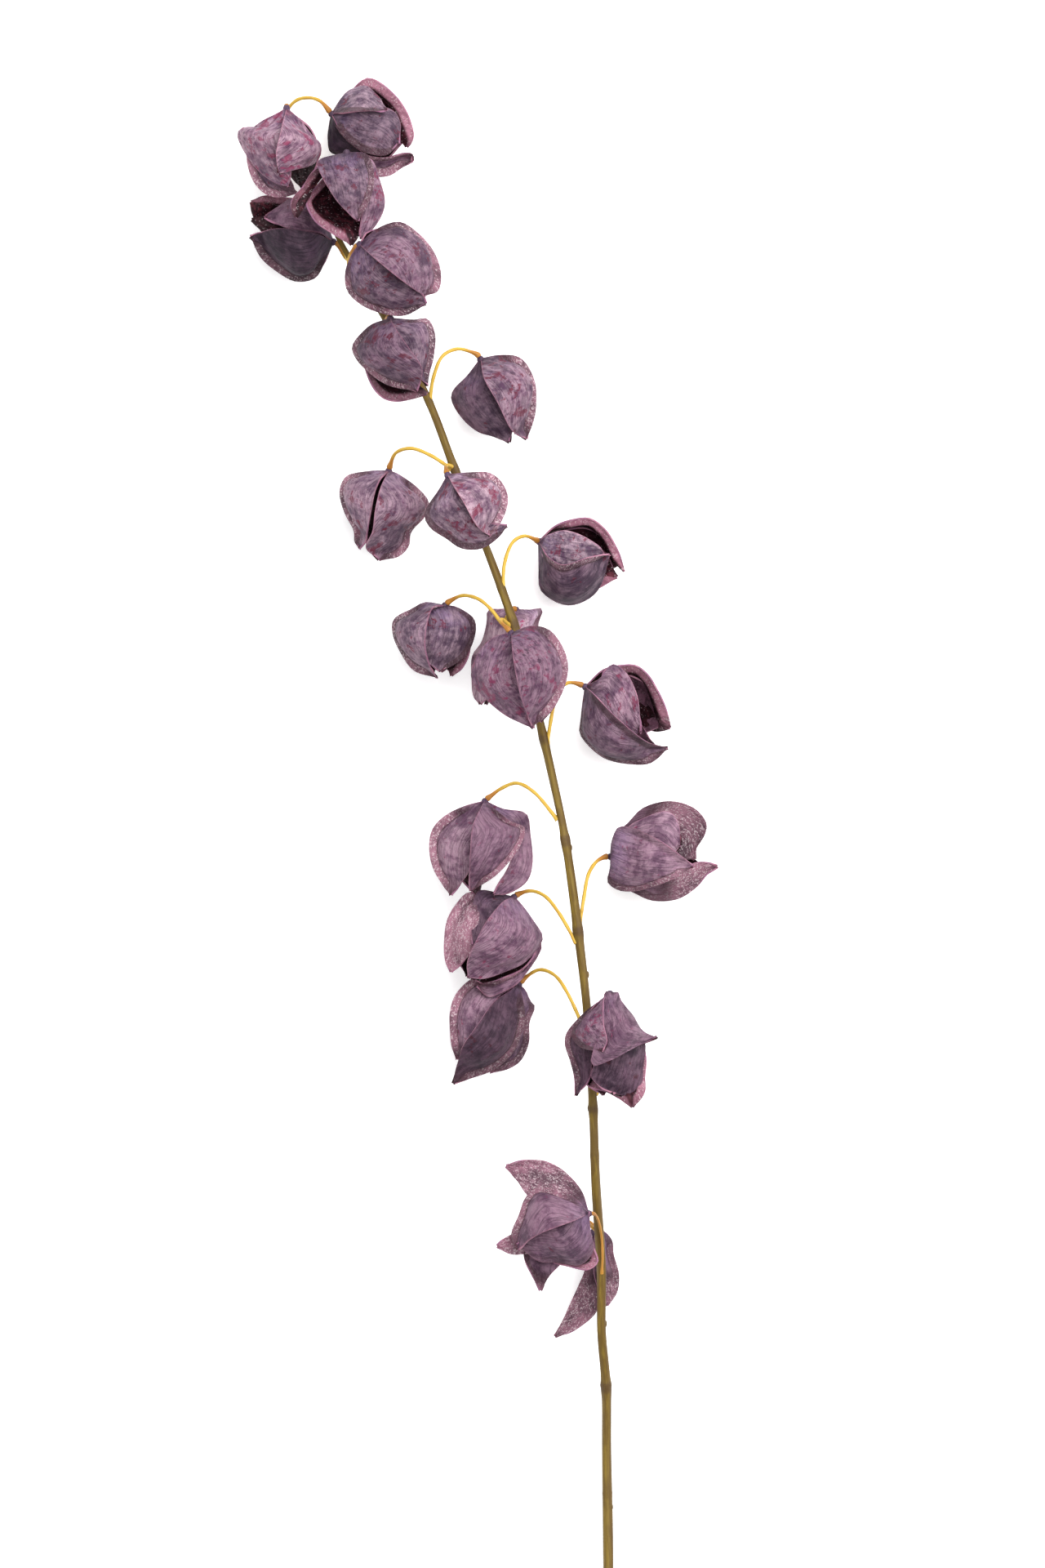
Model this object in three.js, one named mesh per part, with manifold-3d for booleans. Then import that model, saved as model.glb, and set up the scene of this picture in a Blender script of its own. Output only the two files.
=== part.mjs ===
// Physalis stem: a cut spray of purple lanterns on thin yellow pedicels, lying on a surface.
// Millimetres, +Z up. The stem runs along +Y, its cut end is towards -Y, and the surface is Z = 0.
//
// The plan was read off a photograph that looks straight down on the spray. Every [x, y] pair below is a
// point of that photograph, in its pixels, with y downwards. Heights and thicknesses are real millimetres.
import * as THREE from 'three';
import { mergeVertices } from 'three/addons/utils/BufferGeometryUtils.js';
import Module from 'manifold-3d';

const wasm = await Module();
wasm.setup();

// Scale of the plan
const MM_PER_PIXEL = 0.45;
const PLAN_CENTRE = { x: 640, y: 960 };

// Stem
const STEM_SIDES = 8;
const STEM_STEP = 24;
const STEM_FOOT_HEIGHT = 2.45;
const NUB_RADIUS = 1.2;
const NUB_STRETCH = 1.9;
const NUB_REACH = 2.3;

// Pedicels
const PEDICEL_RADIUS = 1.05;
const PEDICEL_SIDES = 5;
const PEDICEL_STEP = 7;
const SWELL_RADIUS = 1.9;
const SWELL_LENGTH = 3.5;
const PEDICEL_SEAT = 1.3;
const CLEARANCE = 0.35;

// Lanterns
const PETAL_THICKNESS = 0.95;
const PETAL_COLUMNS = 3;
const PETAL_ROWS = 4;
const ROOT_REACH = 1.4;
const TIP_HALF_WIDTH = 0.7;
const GLOBE_STRETCH = 1.15;
const LEAST_DEPTH = 0.08;
const FACING_SHARE = 0.4;
const WIDEST_ARC = 1.05;
const HUB_RADIUS = 2.6;
const HUB_LENGTH = 4.4;
const HUB_SIDES = 7;
const HUB_END_SHARE = 0.65;
const FLOOR_SIZE = 120;

// The stem's centreline, from the cut end to the tip. Joints are the pinched rings and leaf joints on it.
const STEM_PATH = [
  { at: [748, 2330], height: 2.45, radius: 2.65 },
  { at: [746, 2100], height: 2.45, radius: 2.65 },
  { at: [745.5, 1920], height: 2.45, radius: 2.65 },
  { at: [743.5, 1784], height: 4, radius: 2.6 },
  { at: [743, 1701], height: 11, radius: 2.6 },
  { at: [737, 1630], height: 20, radius: 2.55 },
  { at: [736.5, 1554], height: 29, radius: 2.5 },
  { at: [730, 1450], height: 38, radius: 2.5 },
  { at: [726.5, 1360], height: 43, radius: 2.45 },
  { at: [719, 1236], height: 45, radius: 2.4 },
  { at: [709, 1147], height: 46, radius: 2.4 },
  { at: [692.6, 1030], height: 47, radius: 2.35 },
  { at: [675.7, 947], height: 47, radius: 2.3 },
  { at: [650, 838], height: 47, radius: 2.3 },
  { at: [627, 758], height: 46, radius: 2.25 },
  { at: [597.5, 676], height: 44, radius: 2.2 },
  { at: [557.5, 576], height: 41, radius: 2.2 },
  { at: [523.6, 488], height: 38, radius: 2.1 },
  { at: [480, 404], height: 36, radius: 1.9 },
  { at: [437, 330], height: 34, radius: 1.7 },
  { at: [415, 292], height: 31, radius: 1.5 },
  { at: [385, 225], height: 22, radius: 1.2 },
];
const STEM_JOINTS = [
  { y: 1701, swell: 0.45, length: 5 },
  { y: 1358, swell: 0.4, length: 4 },
  { y: 1140, swell: 0.5, length: 5 },
  { y: 1031, swell: 0.5, length: 5 },
  { y: 905, swell: 0.4, length: 5 },
  { y: 765, swell: 0.5, length: 5 },
  { y: 576, swell: 0.45, length: 5 },
];
const STEM_NUBS = [
  { at: [703, 1037], side: 1 },
  { at: [719, 1195], side: 1 },
  { at: [720, 1358], side: -1 },
  { at: [742, 1621], side: 1 },
  { at: [749, 1850], side: 1 },
];

// One entry for each lantern, from the uppermost downwards. base and mouth are the two ends of its axis, girth
// is its greatest radius, height is that of its middle above the surface and rise is how much higher the mouth
// is than the base. A petal has two edges that run from the base to its tip. Each of their points is
// [x, y, face]: face 1 is the side of the globe that faces up, 0 its outline and -1 its underside, so 1.1
// stands a little off the globe. route is the pedicel's way from the stem, as [x, y, height].
const LANTERNS = [
  {
    base: [351, 131], mouth: [345, 232], girth: 21, height: 36, rise: 0,
    route: [[385, 225, 22], [374, 190, 12], [362, 150, 12], [353, 124, 20], [351, 122, 31]],
    petals: [
      {
        one: [[344, 164, 1.12], [337, 190, 1.12]],
        other: [[378, 153, 0.4], [394, 178, 0], [388, 201, 0.3], [365, 208, 0.8]],
        tip: [341, 213, 1],
      },
      {
        one: [[318, 146, 0.3], [291, 166, 0], [300, 190, 0.1], [325, 217, 0.4]],
        other: [[352, 165, 0.88], [350, 195, 0.9]],
        tip: [347, 229, 0.6],
      },
      {
        one: [[306, 165, -0.3], [303, 213, -0.3], [313, 230, -0.3]],
        other: [[340, 170, -1], [356, 205, -0.8], [358, 232, -0.4]],
        tip: [338, 242, -0.3],
      },
      {
        one: [[335, 165, -0.88], [345, 200, -0.8]],
        other: [[382, 160, -0.2], [391, 190, -0.25], [384, 215, -0.3]],
        tip: [370, 229, -0.5],
      },
    ],
  },
  {
    base: [405, 138], mouth: [500, 182], girth: 21, height: 27, rise: 0,
    route: [[396, 252, 26], [384, 228, 14], [368, 198, 6], [352, 160, 4.5], [350, 136, 9], [362, 121, 15],
      [378, 118, 20], [391, 122, 24], [400, 131, 27]],
    petals: [
      {
        one: [[413, 158, 0.7], [430, 177, 0.8], [450, 187, 0.9], [475, 184, 1]],
        other: [[440, 128, 0.9], [465, 136, 1.08], [488, 150, 0.8]],
        tip: [493, 177, 0.7],
      },
      {
        one: [[418, 122, 0.1], [436, 103, 0], [452, 94, -0.1], [484, 119, -0.1], [501, 143, 0]],
        other: [[430, 130, 0.7], [455, 128, 0.8], [480, 135, 0.6], [492, 155, 0.5]],
        tip: [505, 177, 0.2],
      },
      {
        one: [[425, 115, 0.6], [452, 108, 0.7]],
        other: [[425, 134, 0.98], [452, 136, 1.0]],
        tip: [474, 133, 0.98],
      },
      {
        one: [[408, 162, 0], [430, 190, -0.1], [462, 214, -0.1], [490, 208, 0]],
        other: [[420, 165, 0.5], [447, 189, 0.6], [470, 194, 0.65]],
        tip: [506, 192, 0.3],
      },
      {
        one: [[425, 112, -0.5], [460, 112, -0.8]],
        other: [[420, 170, -0.6], [465, 200, -0.6]],
        tip: [498, 168, -0.5],
      },
    ],
  },
  {
    base: [425, 187], mouth: [420, 285], girth: 20, height: 56, rise: 0,
    route: [[400, 258, 25], [412, 225, 26], [422, 193, 38], [425, 184, 51]],
    petals: [
      {
        one: [[391, 198, 0.5], [396, 220, 0.9], [415, 251, 1.05]],
        other: [[450, 190, 0.5], [459, 212, 0.85], [455, 244, 0.95]],
        tip: [439, 272, 0.9],
      },
      {
        one: [[455, 196, 0.1], [468, 228, 0], [472, 250, 0], [462, 276, 0.2]],
        other: [[445, 215, 0.7], [446, 250, 0.75], [442, 275, 0.75]],
        tip: [443, 294, 0.5],
      },
      {
        one: [[392, 203, 0.4], [370, 228, 0.35], [355, 250, 0.3]],
        other: [[400, 215, -0.3], [385, 245, -0.3]],
        tip: [362, 266, 0.2],
      },
      {
        one: [[392, 220, -0.5], [376, 250, 0], [386, 272, 0.25], [408, 287, 0.35]],
        other: [[425, 215, -1], [440, 255, -0.9], [445, 280, -0.4]],
        tip: [430, 301, 0.2],
      },
      {
        one: [[418, 205, -0.88], [430, 240, -0.88]],
        other: [[457, 205, -0.2], [466, 240, -0.25], [460, 268, -0.3]],
        tip: [448, 286, -0.3],
      },
    ],
  },
  {
    base: [409, 295], mouth: [325, 305], girth: 20, height: 23, rise: 0,
    route: [[425, 310, 32], [424, 316, 26], [419, 308, 23], [413, 297, 23]],
    petals: [
      {
        one: [[385, 285, 0.9], [345, 279, 1.05], [318, 284, 0.9]],
        other: [[399, 316, 0.4], [386, 340, 0.05], [362, 344, 0], [338, 331, 0.05], [318, 314, 0.3]],
        tip: [306, 289, 0.5],
      },
      {
        one: [[395, 262, 0.4], [378, 246, 0.1], [358, 241, 0.1], [338, 252, 0.4]],
        other: [[390, 284, 0.82], [355, 280, 0.88]],
        tip: [324, 265, 0.85],
      },
      {
        one: [[385, 250, -0.2], [350, 240, -0.2], [322, 238, -0.2]],
        other: [[370, 290, -0.9], [330, 290, -0.7], [312, 272, -0.3]],
        tip: [307, 246, 0],
      },
      {
        one: [[380, 270, 0.15], [340, 262, 0.3]],
        other: [[375, 300, -0.3], [335, 295, 0.1]],
        tip: [308, 268, 0.3],
      },
      {
        one: [[380, 285, -0.8], [340, 280, -0.8]],
        other: [[392, 328, -0.2], [365, 338, -0.3], [335, 328, -0.3]],
        tip: [312, 300, -0.3],
      },
    ],
  },
  {
    base: [440, 300], mouth: [517, 370], girth: 23, height: 62, rise: 0,
    route: [[446, 346, 34], [432, 336, 40], [427, 322, 50], [432, 309, 59]],
    petals: [
      {
        one: [[456, 316, 1.05], [481, 337, 1.12], [508, 358, 1]],
        other: [[463, 281, 0.4], [490, 272, 0.1], [514, 288, 0], [532, 311, 0], [540, 340, 0.05]],
        tip: [530, 365, 0.3],
      },
      {
        one: [[431, 313, 0.3], [423, 335, 0], [425, 357, 0], [440, 373, 0.05], [466, 385, 0.05],
          [495, 388, 0.1]],
        other: [[462, 310, 0.85], [486, 332, 0.92], [507, 358, 0.85]],
        tip: [522, 374, 0.5],
      },
      {
        one: [[450, 285, -0.3], [495, 282, -0.4], [525, 315, -0.3]],
        other: [[440, 330, -0.9], [475, 355, -0.88]],
        tip: [526, 360, -0.2],
      },
      {
        one: [[450, 300, -0.78], [485, 320, -0.8]],
        other: [[432, 340, -0.3], [455, 376, -0.3], [490, 380, -0.3]],
        tip: [513, 373, -0.2],
      },
    ],
  },
  {
    base: [478, 390], mouth: [518, 478], girth: 22, height: 57, rise: 0,
    route: [[488, 420, 36], [474, 404, 39], [468, 388, 45], [474, 384, 53]],
    petals: [
      {
        one: [[452, 400, 0.5], [431, 425, 0.1], [436, 440, 0.1], [450, 455, 0.4], [476, 473, 0.6]],
        other: [[484, 402, 1], [503, 430, 1.1], [518, 455, 1]],
        tip: [510, 480, 0.8],
      },
      {
        one: [[495, 402, 0.82], [508, 430, 0.86], [518, 452, 0.8]],
        other: [[505, 392, 0.4], [524, 391, 0.05], [533, 412, 0], [531, 437, 0], [527, 455, 0.1]],
        tip: [524, 473, 0.45],
      },
      {
        one: [[446, 425, -0.3], [452, 468, -0.1], [468, 488, 0], [487, 493, 0.1]],
        other: [[470, 420, -0.95], [500, 460, -0.6], [515, 475, -0.1]],
        tip: [523, 483, 0.2],
      },
      {
        one: [[465, 405, -0.78], [485, 445, -0.8]],
        other: [[518, 400, -0.3], [529, 435, -0.3]],
        tip: [521, 468, -0.3],
      },
    ],
  },
  {
    base: [588, 438], mouth: [622, 535], girth: 22, height: 28, rise: 0,
    route: [[526, 494, 38], [531, 462, 40], [542, 436, 38], [560, 427, 34], [576, 430, 30], [585, 434, 28]],
    petals: [
      {
        one: [[594, 466, 1.05], [609, 493, 1.12], [625, 524, 0.95], [634, 533, 0.6]],
        other: [[612, 434, 0.4], [639, 439, 0.1], [656, 467, 0], [657, 493, 0], [653, 516, 0]],
        tip: [645, 537, 0.2],
      },
      {
        one: [[574, 457, 0.3], [553, 485, 0], [567, 514, 0.05], [585, 529, 0.2], [604, 535, 0.4]],
        other: [[600, 462, 0.85], [612, 490, 0.88], [622, 515, 0.8]],
        tip: [624, 541, 0.6],
      },
      {
        one: [[578, 455, -0.3], [562, 488, -0.3], [585, 522, -0.4]],
        other: [[605, 460, -1], [617, 500, -1]],
        tip: [618, 530, -0.4],
      },
      {
        one: [[592, 460, -0.8], [602, 500, -0.8]],
        other: [[635, 450, -0.25], [650, 490, -0.3], [643, 520, -0.3]],
        tip: [632, 530, -0.3],
      },
    ],
  },
  {
    base: [476, 575], mouth: [462, 672], girth: 24, height: 23.3, rise: 0, rests: true,
    route: [[554, 575, 41], [528, 558, 42], [504, 549, 38], [485, 554, 31], [478, 568, 25]],
    petals: [
      {
        one: [[452, 576, 0.5], [423, 582, 0.1], [415, 600, 0], [422, 628, 0], [433, 650, 0.2]],
        other: [[464, 588, 0.95], [456, 604, 0.92], [451, 624, 0.9], [447, 648, 0.85]],
        tip: [440, 669, 0.5],
      },
      {
        one: [[488, 580, 0.6], [512, 598, 0.2], [525, 615, 0], [520, 633, 0], [504, 652, 0.1],
          [500, 668, 0.15], [482, 681, 0.3]],
        other: [[467, 598, 1.08], [460, 623, 1.12], [458, 650, 1], [452, 666, 0.8]],
        tip: [458, 684, 0.5],
      },
      {
        one: [[440, 592, -0.3], [424, 615, -0.3], [435, 645, -0.4]],
        other: [[475, 600, -1], [470, 650, -1]],
        tip: [455, 673, -0.4],
      },
      {
        one: [[460, 600, -0.8], [455, 650, -0.8]],
        other: [[505, 602, -0.3], [515, 625, -0.3], [500, 655, -0.4]],
        tip: [475, 674, -0.4],
      },
    ],
  },
  {
    base: [548, 582], mouth: [600, 662], girth: 21, height: 65, rise: 0,
    route: [[552, 566, 40], [541, 560, 48], [538, 568, 57], [544, 577, 63]],
    petals: [
      {
        one: [[556, 596, 1], [570, 620, 1.12], [585, 646, 1.05]],
        other: [[575, 580, 0.5], [599, 581, 0.15], [614, 592, 0], [621, 610, 0], [614, 639, 0.1]],
        tip: [600, 657, 0.5],
      },
      {
        one: [[538, 600, 0.3], [520, 630, 0], [527, 646, 0], [547, 660, 0.1], [565, 672, 0.2],
          [590, 673, 0.3], [610, 660, 0.3]],
        other: [[560, 596, 0.82], [575, 625, 0.88], [590, 648, 0.82]],
        tip: [621, 645, 0.3],
      },
      {
        one: [[545, 605, -0.3], [532, 635, -0.3], [560, 660, -0.4]],
        other: [[575, 605, -1], [595, 640, -0.9]],
        tip: [600, 662, -0.3],
      },
      {
        one: [[560, 605, -0.78], [578, 640, -0.78]],
        other: [[595, 592, -0.3], [612, 615, -0.3], [612, 640, -0.3]],
        tip: [608, 652, -0.2],
      },
    ],
  },
  {
    base: [659, 662], mouth: [755, 695], girth: 24, height: 21, rise: 0, rests: true,
    route: [[616, 724, 45], [618, 690, 45], [628, 664, 38], [643, 656, 30], [655, 660, 25]],
    petals: [
      {
        one: [[678, 644, 0.2], [700, 634, 0], [724, 633, -0.05], [742, 645, 0], [756, 662, 0.1]],
        other: [[680, 660, 0.9], [710, 656, 1.05], [735, 666, 0.95], [750, 685, 0.6]],
        tip: [765, 700, 0.3],
      },
      {
        one: [[680, 654, 0.8], [710, 654, 0.85], [735, 664, 0.7]],
        other: [[670, 686, 0.85], [700, 696, 0.88], [728, 690, 0.8]],
        tip: [746, 676, 0.7],
      },
      {
        one: [[672, 682, 0.9], [690, 692, 1.1], [718, 684, 1.1]],
        other: [[660, 700, 0.2], [662, 722, 0.05], [680, 737, 0], [700, 741, 0], [722, 733, 0.1],
          [736, 718, 0.3]],
        tip: [747, 680, 0.95],
      },
      {
        one: [[695, 680, -0.8], [730, 685, -0.6]],
        other: [[672, 720, -0.3], [700, 733, -0.4], [730, 722, -0.2]],
        tip: [749, 712, -0.1],
      },
      {
        one: [[680, 652, -0.4], [720, 645, -0.5]],
        other: [[680, 700, -1], [720, 705, -0.95]],
        tip: [752, 690, -0.5],
      },
    ],
  },
  {
    base: [545, 740], mouth: [532, 828], girth: 22, height: 26, rise: 0,
    route: [[629, 770, 46], [615, 763, 45], [603, 748, 44], [587, 734, 39], [567, 729, 32], [552, 735, 27]],
    petals: [
      {
        one: [[520, 737, 0.5], [503, 746, 0.3], [481, 759, 0], [480, 777, 0], [492, 803, 0],
          [508, 821, 0.2]],
        other: [[530, 744, 1], [522, 770, 1.1], [521, 797, 1.1], [528, 820, 0.8]],
        tip: [535, 830, 0.5],
      },
      {
        one: [[560, 743, 0.5], [580, 757, 0.1], [583, 771, 0], [577, 792, 0], [566, 807, 0.2]],
        other: [[532, 752, 0.85], [525, 775, 0.88], [525, 800, 0.85]],
        tip: [540, 820, 0.6],
      },
      {
        one: [[573, 765, -0.3], [576, 795, -0.3], [567, 818, -0.1]],
        other: [[535, 760, -0.8], [535, 800, -0.8]],
        tip: [553, 827, -0.1],
      },
      {
        one: [[500, 755, -0.3], [488, 780, -0.3], [505, 812, -0.3]],
        other: [[545, 760, -1], [545, 800, -1]],
        tip: [530, 824, -0.4],
      },
    ],
  },
  {
    base: [632, 745], mouth: [598, 862], girth: 20, height: 22, rise: 0,
    route: [[622, 750, 46], [636, 740, 42], [641, 736, 33], [636, 739, 25]],
    petals: [
      {
        one: [[612, 745, 0.6], [597, 754, 0.2], [590, 786, 0], [578, 800, 0], [577, 832, 0],
          [580, 854, 0.1]],
        other: [[628, 770, 0.95], [620, 810, 0.95], [604, 845, 0.8]],
        tip: [588, 862, 0.3],
      },
      {
        one: [[624, 770, 0.8], [612, 815, 0.8]],
        other: [[648, 744, 0.4], [663, 748, 0.1], [660, 790, 0], [643, 835, 0.1]],
        tip: [612, 862, 0.4],
      },
      {
        one: [[610, 760, -0.3], [590, 800, -0.3], [588, 840, -0.3]],
        other: [[632, 770, -0.9], [618, 830, -0.9]],
        tip: [595, 862, -0.3],
      },
      {
        one: [[615, 765, -0.75], [605, 820, -0.75]],
        other: [[655, 760, -0.3], [650, 800, -0.3], [630, 845, -0.3]],
        tip: [608, 862, -0.3],
      },
    ],
  },
  {
    base: [626, 775], mouth: [654, 890], girth: 25, height: 74, rise: 4,
    route: [[628, 764, 46], [612, 752, 52], [611, 760, 62], [621, 770, 70]],
    petals: [
      {
        one: [[606, 780, 0.5], [590, 795, 0.2], [583, 808, 0.1], [577, 828, 0], [583, 843, 0],
          [597, 859, 0.1], [622, 879, 0.3]],
        other: [[637, 800, 0.8], [639, 835, 0.86], [645, 866, 0.8]],
        tip: [653, 892, 0.4],
      },
      {
        one: [[627, 790, 1], [631, 822, 1.12], [639, 857, 1.1], [647, 878, 0.9]],
        other: [[645, 772, 0.6], [662, 774, 0.7], [674, 788, 0.8], [687, 822, 0.85], [678, 855, 0.7],
          [666, 878, 0.5]],
        tip: [653, 888, 0.7],
      },
      {
        one: [[655, 772, 0.2], [673, 773, 0.1], [690, 795, 0], [695, 815, 0], [692, 838, 0],
          [680, 868, 0.1]],
        other: [[650, 790, 0.72], [668, 830, 0.7], [664, 866, 0.45]],
        tip: [664, 882, 0.3],
      },
      {
        one: [[605, 795, -0.3], [590, 830, -0.3], [615, 868, -0.3]],
        other: [[645, 800, -0.9], [655, 850, -0.9]],
        tip: [648, 884, -0.3],
      },
      {
        one: [[625, 800, -0.72], [635, 850, -0.75]],
        other: [[668, 785, -0.25], [686, 820, -0.3], [675, 865, -0.3]],
        tip: [658, 882, -0.3],
      },
    ],
  },
  {
    base: [716, 840], mouth: [800, 905], girth: 25, height: 28, rise: 0,
    route: [[670, 912, 47], [676, 875, 47], [682, 850, 40], [696, 836, 32], [711, 838, 28]],
    petals: [
      {
        one: [[728, 856, 0.88], [750, 878, 0.9], [770, 892, 0.85]],
        other: [[735, 830, 0.6], [750, 813, 0.3], [768, 825, 0.7], [782, 861, 0.9]],
        tip: [784, 897, 0.85],
      },
      {
        one: [[740, 818, 0.1], [765, 814, 0], [779, 815, -0.05], [793, 827, 0], [804, 845, 0],
          [818, 877, 0.1]],
        other: [[748, 832, 0.55], [770, 852, 0.6], [790, 880, 0.4]],
        tip: [821, 892, 0.2],
      },
      {
        one: [[728, 851, 1], [755, 879, 1.12], [785, 904, 1.05], [802, 912, 0.9]],
        other: [[714, 855, 0.3], [711, 880, 0], [709, 897, 0], [722, 915, 0], [742, 930, 0], [772, 936, 0],
          [797, 934, 0.1]],
        tip: [818, 916, 0.4],
      },
      {
        one: [[745, 828, -0.4], [782, 845, -0.4], [802, 870, -0.3]],
        other: [[730, 875, -0.9], [770, 900, -0.9]],
        tip: [808, 893, -0.1],
      },
      {
        one: [[738, 850, -0.75], [780, 880, -0.75]],
        other: [[716, 885, -0.3], [745, 920, -0.4], [780, 928, -0.3]],
        tip: [803, 915, -0.1],
      },
    ],
  },
  {
    base: [594, 980], mouth: [585, 1092], girth: 25, height: 33, rise: 0,
    route: [[683, 1004, 47], [654, 970, 45], [633, 959, 40], [613, 966, 35], [602, 974, 33]],
    petals: [
      {
        one: [[588, 994, 0.95], [579, 1016, 1], [575, 1050, 1], [574, 1075, 0.85]],
        other: [[607, 993, 0.95], [625, 1010, 0.98], [643, 1017, 0.9], [632, 1045, 1], [610, 1070, 1]],
        tip: [577, 1091, 0.7],
      },
      {
        one: [[575, 985, 0.4], [546, 1000, 0.1], [530, 1019, 0], [526, 1040, 0], [531, 1063, 0],
          [541, 1082, 0.1]],
        other: [[590, 1000, 0.75], [582, 1035, 0.8], [572, 1065, 0.7]],
        tip: [552, 1096, 0.3],
      },
      {
        one: [[616, 990, 0.3], [645, 996, 0], [650, 1020, 0], [653, 1055, 0], [646, 1079, 0.1],
          [625, 1093, 0.2]],
        other: [[612, 1008, 0.65], [628, 1040, 0.7], [618, 1070, 0.6]],
        tip: [605, 1096, 0.65],
      },
      {
        one: [[558, 1003, -0.3], [545, 1045, -0.4], [560, 1078, -0.4]],
        other: [[600, 1000, -1], [600, 1060, -1]],
        tip: [580, 1088, -0.5],
      },
      {
        one: [[585, 1000, -0.78], [580, 1055, -0.8]],
        other: [[636, 1005, -0.3], [643, 1050, -0.35], [628, 1078, -0.3]],
        tip: [600, 1088, -0.4],
      },
    ],
  },
  {
    base: [747, 1049], mouth: [850, 1062], girth: 23, height: 27, rise: 0,
    route: [[709, 1140, 46], [715, 1100, 44], [721, 1070, 38], [732, 1054, 31], [743, 1049, 27]],
    petals: [
      {
        one: [[744, 1068, 0.4], [747, 1082, 0.3], [771, 1091, 0.4], [796, 1087, 0.7], [827, 1076, 0.9]],
        other: [[749, 1030, 0.6], [758, 1013, 0.5], [781, 1015, 0.9], [817, 1031, 1.1]],
        tip: [848, 1060, 0.9],
      },
      {
        one: [[757, 1020, 0.1], [771, 1010, 0.1], [787, 992, 0.05], [817, 981, 0], [848, 991, 0],
          [866, 1007, 0], [866, 1021, 0.05]],
        other: [[768, 1025, 0.7], [800, 1030, 0.75], [830, 1038, 0.6]],
        tip: [852, 1037, 0.4],
      },
      {
        one: [[752, 1080, -0.05], [776, 1093, 0], [800, 1103, 0], [832, 1100, 0], [854, 1086, 0.1],
          [868, 1069, 0.2]],
        other: [[765, 1078, 0.55], [800, 1078, 0.6], [835, 1063, 0.6], [852, 1052, 0.45]],
        tip: [878, 1061, 0.3],
      },
      {
        one: [[770, 1015, -0.3], [815, 995, -0.3], [850, 1015, -0.2]],
        other: [[775, 1060, -1], [825, 1060, -1]],
        tip: [858, 1045, -0.2],
      },
      {
        one: [[770, 1040, -0.75], [825, 1035, -0.75]],
        other: [[770, 1085, -0.3], [810, 1095, -0.35], [845, 1080, -0.2]],
        tip: [862, 1062, -0.1],
      },
    ],
  },
  {
    base: [630, 1098], mouth: [575, 1200], girth: 23, height: 28, rise: 0,
    route: [[706, 1155, 46], [684, 1117, 44], [667, 1097, 37], [650, 1091, 31], [635, 1095, 27]],
    petals: [
      {
        one: [[637, 1105, 0.5], [653, 1126, 0.2], [665, 1148, 0.1], [658, 1163, 0.2], [642, 1179, 0.5],
          [617, 1191, 0.7], [592, 1199, 0.8]],
        other: [[616, 1104, 0.9], [597, 1127, 1.05], [581, 1156, 1.1], [572, 1180, 0.9]],
        tip: [574, 1197, 0.8],
      },
      {
        one: [[612, 1094, 0.3], [586, 1091, 0.2], [577, 1120, 0.4]],
        other: [[616, 1110, 0.75], [600, 1135, 0.85]],
        tip: [580, 1157, 0.8],
      },
      {
        one: [[600, 1094, 0], [573, 1093, -0.05], [561, 1104, 0], [547, 1128, 0], [543, 1157, 0],
          [545, 1177, 0.05]],
        other: [[598, 1110, 0.45], [586, 1140, 0.55], [574, 1170, 0.5]],
        tip: [552, 1190, 0.3],
      },
      {
        one: [[650, 1135, -0.1], [661, 1158, -0.05], [648, 1182, 0.1], [635, 1204, 0.15], [612, 1218, 0.3],
          [596, 1223, 0.4]],
        other: [[640, 1140, -0.6], [630, 1180, -0.1], [605, 1203, 0.45]],
        tip: [583, 1209, 0.6],
      },
      {
        one: [[605, 1105, -0.4], [572, 1140, -0.4], [558, 1172, -0.3]],
        other: [[635, 1135, -0.9], [605, 1180, -0.9]],
        tip: [570, 1195, -0.1],
      },
    ],
  },
  {
    base: [636, 1205], mouth: [565, 1310], girth: 23, height: 23, rise: 10,
    route: [[713, 1254, 45], [694, 1214, 41], [679, 1194, 32], [660, 1188, 23], [643, 1198, 18]],
    petals: [
      {
        one: [[625, 1213, 0.6], [608, 1226, 0.9], [584, 1250, 1.1], [568, 1276, 1.05], [559, 1302, 0.8]],
        other: [[640, 1222, 0.8], [642, 1246, 0.75], [638, 1268, 0.75], [622, 1289, 0.7],
          [600, 1309, 0.65], [578, 1321, 0.6]],
        tip: [555, 1327, 0.5],
      },
      {
        one: [[610, 1200, 0], [573, 1197, -0.05], [557, 1218, 0], [551, 1240, 0], [553, 1268, 0]],
        other: [[608, 1222, 0.5], [590, 1247, 0.7], [574, 1272, 0.7]],
        tip: [560, 1296, 0.4],
      },
      {
        one: [[644, 1213, 0.2], [650, 1226, 0.1], [656, 1233, 0], [649, 1253, 0], [648, 1278, 0],
          [638, 1299, 0], [622, 1309, 0.1]],
        other: [[630, 1230, 0.5], [626, 1265, 0.55], [610, 1298, 0.4]],
        tip: [600, 1313, 0.2],
      },
      {
        one: [[600, 1205, -0.4], [566, 1240, -0.4], [562, 1280, -0.3]],
        other: [[628, 1240, -0.9], [605, 1285, -0.9]],
        tip: [567, 1312, -0.2],
      },
      {
        one: [[612, 1225, -0.7], [590, 1265, -0.75]],
        other: [[642, 1235, -0.3], [640, 1275, -0.35], [615, 1302, -0.3]],
        tip: [585, 1315, -0.2],
      },
    ],
  },
  {
    base: [748, 1220], mouth: [740, 1345], girth: 23, height: 72, rise: 10,
    route: [[729, 1340, 43], [744, 1320, 38], [750, 1280, 36], [751, 1235, 42], [749, 1216, 53],
      [748, 1214, 62]],
    petals: [
      {
        one: [[737, 1232, 0.95], [733, 1262, 1.08], [725, 1290, 1.12], [724, 1304, 1.12], [748, 1297, 1.1],
          [775, 1282, 0.9]],
        other: [[761, 1224, 0.4], [784, 1254, 0.2]],
        tip: [804, 1269, 0.1],
      },
      {
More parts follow.
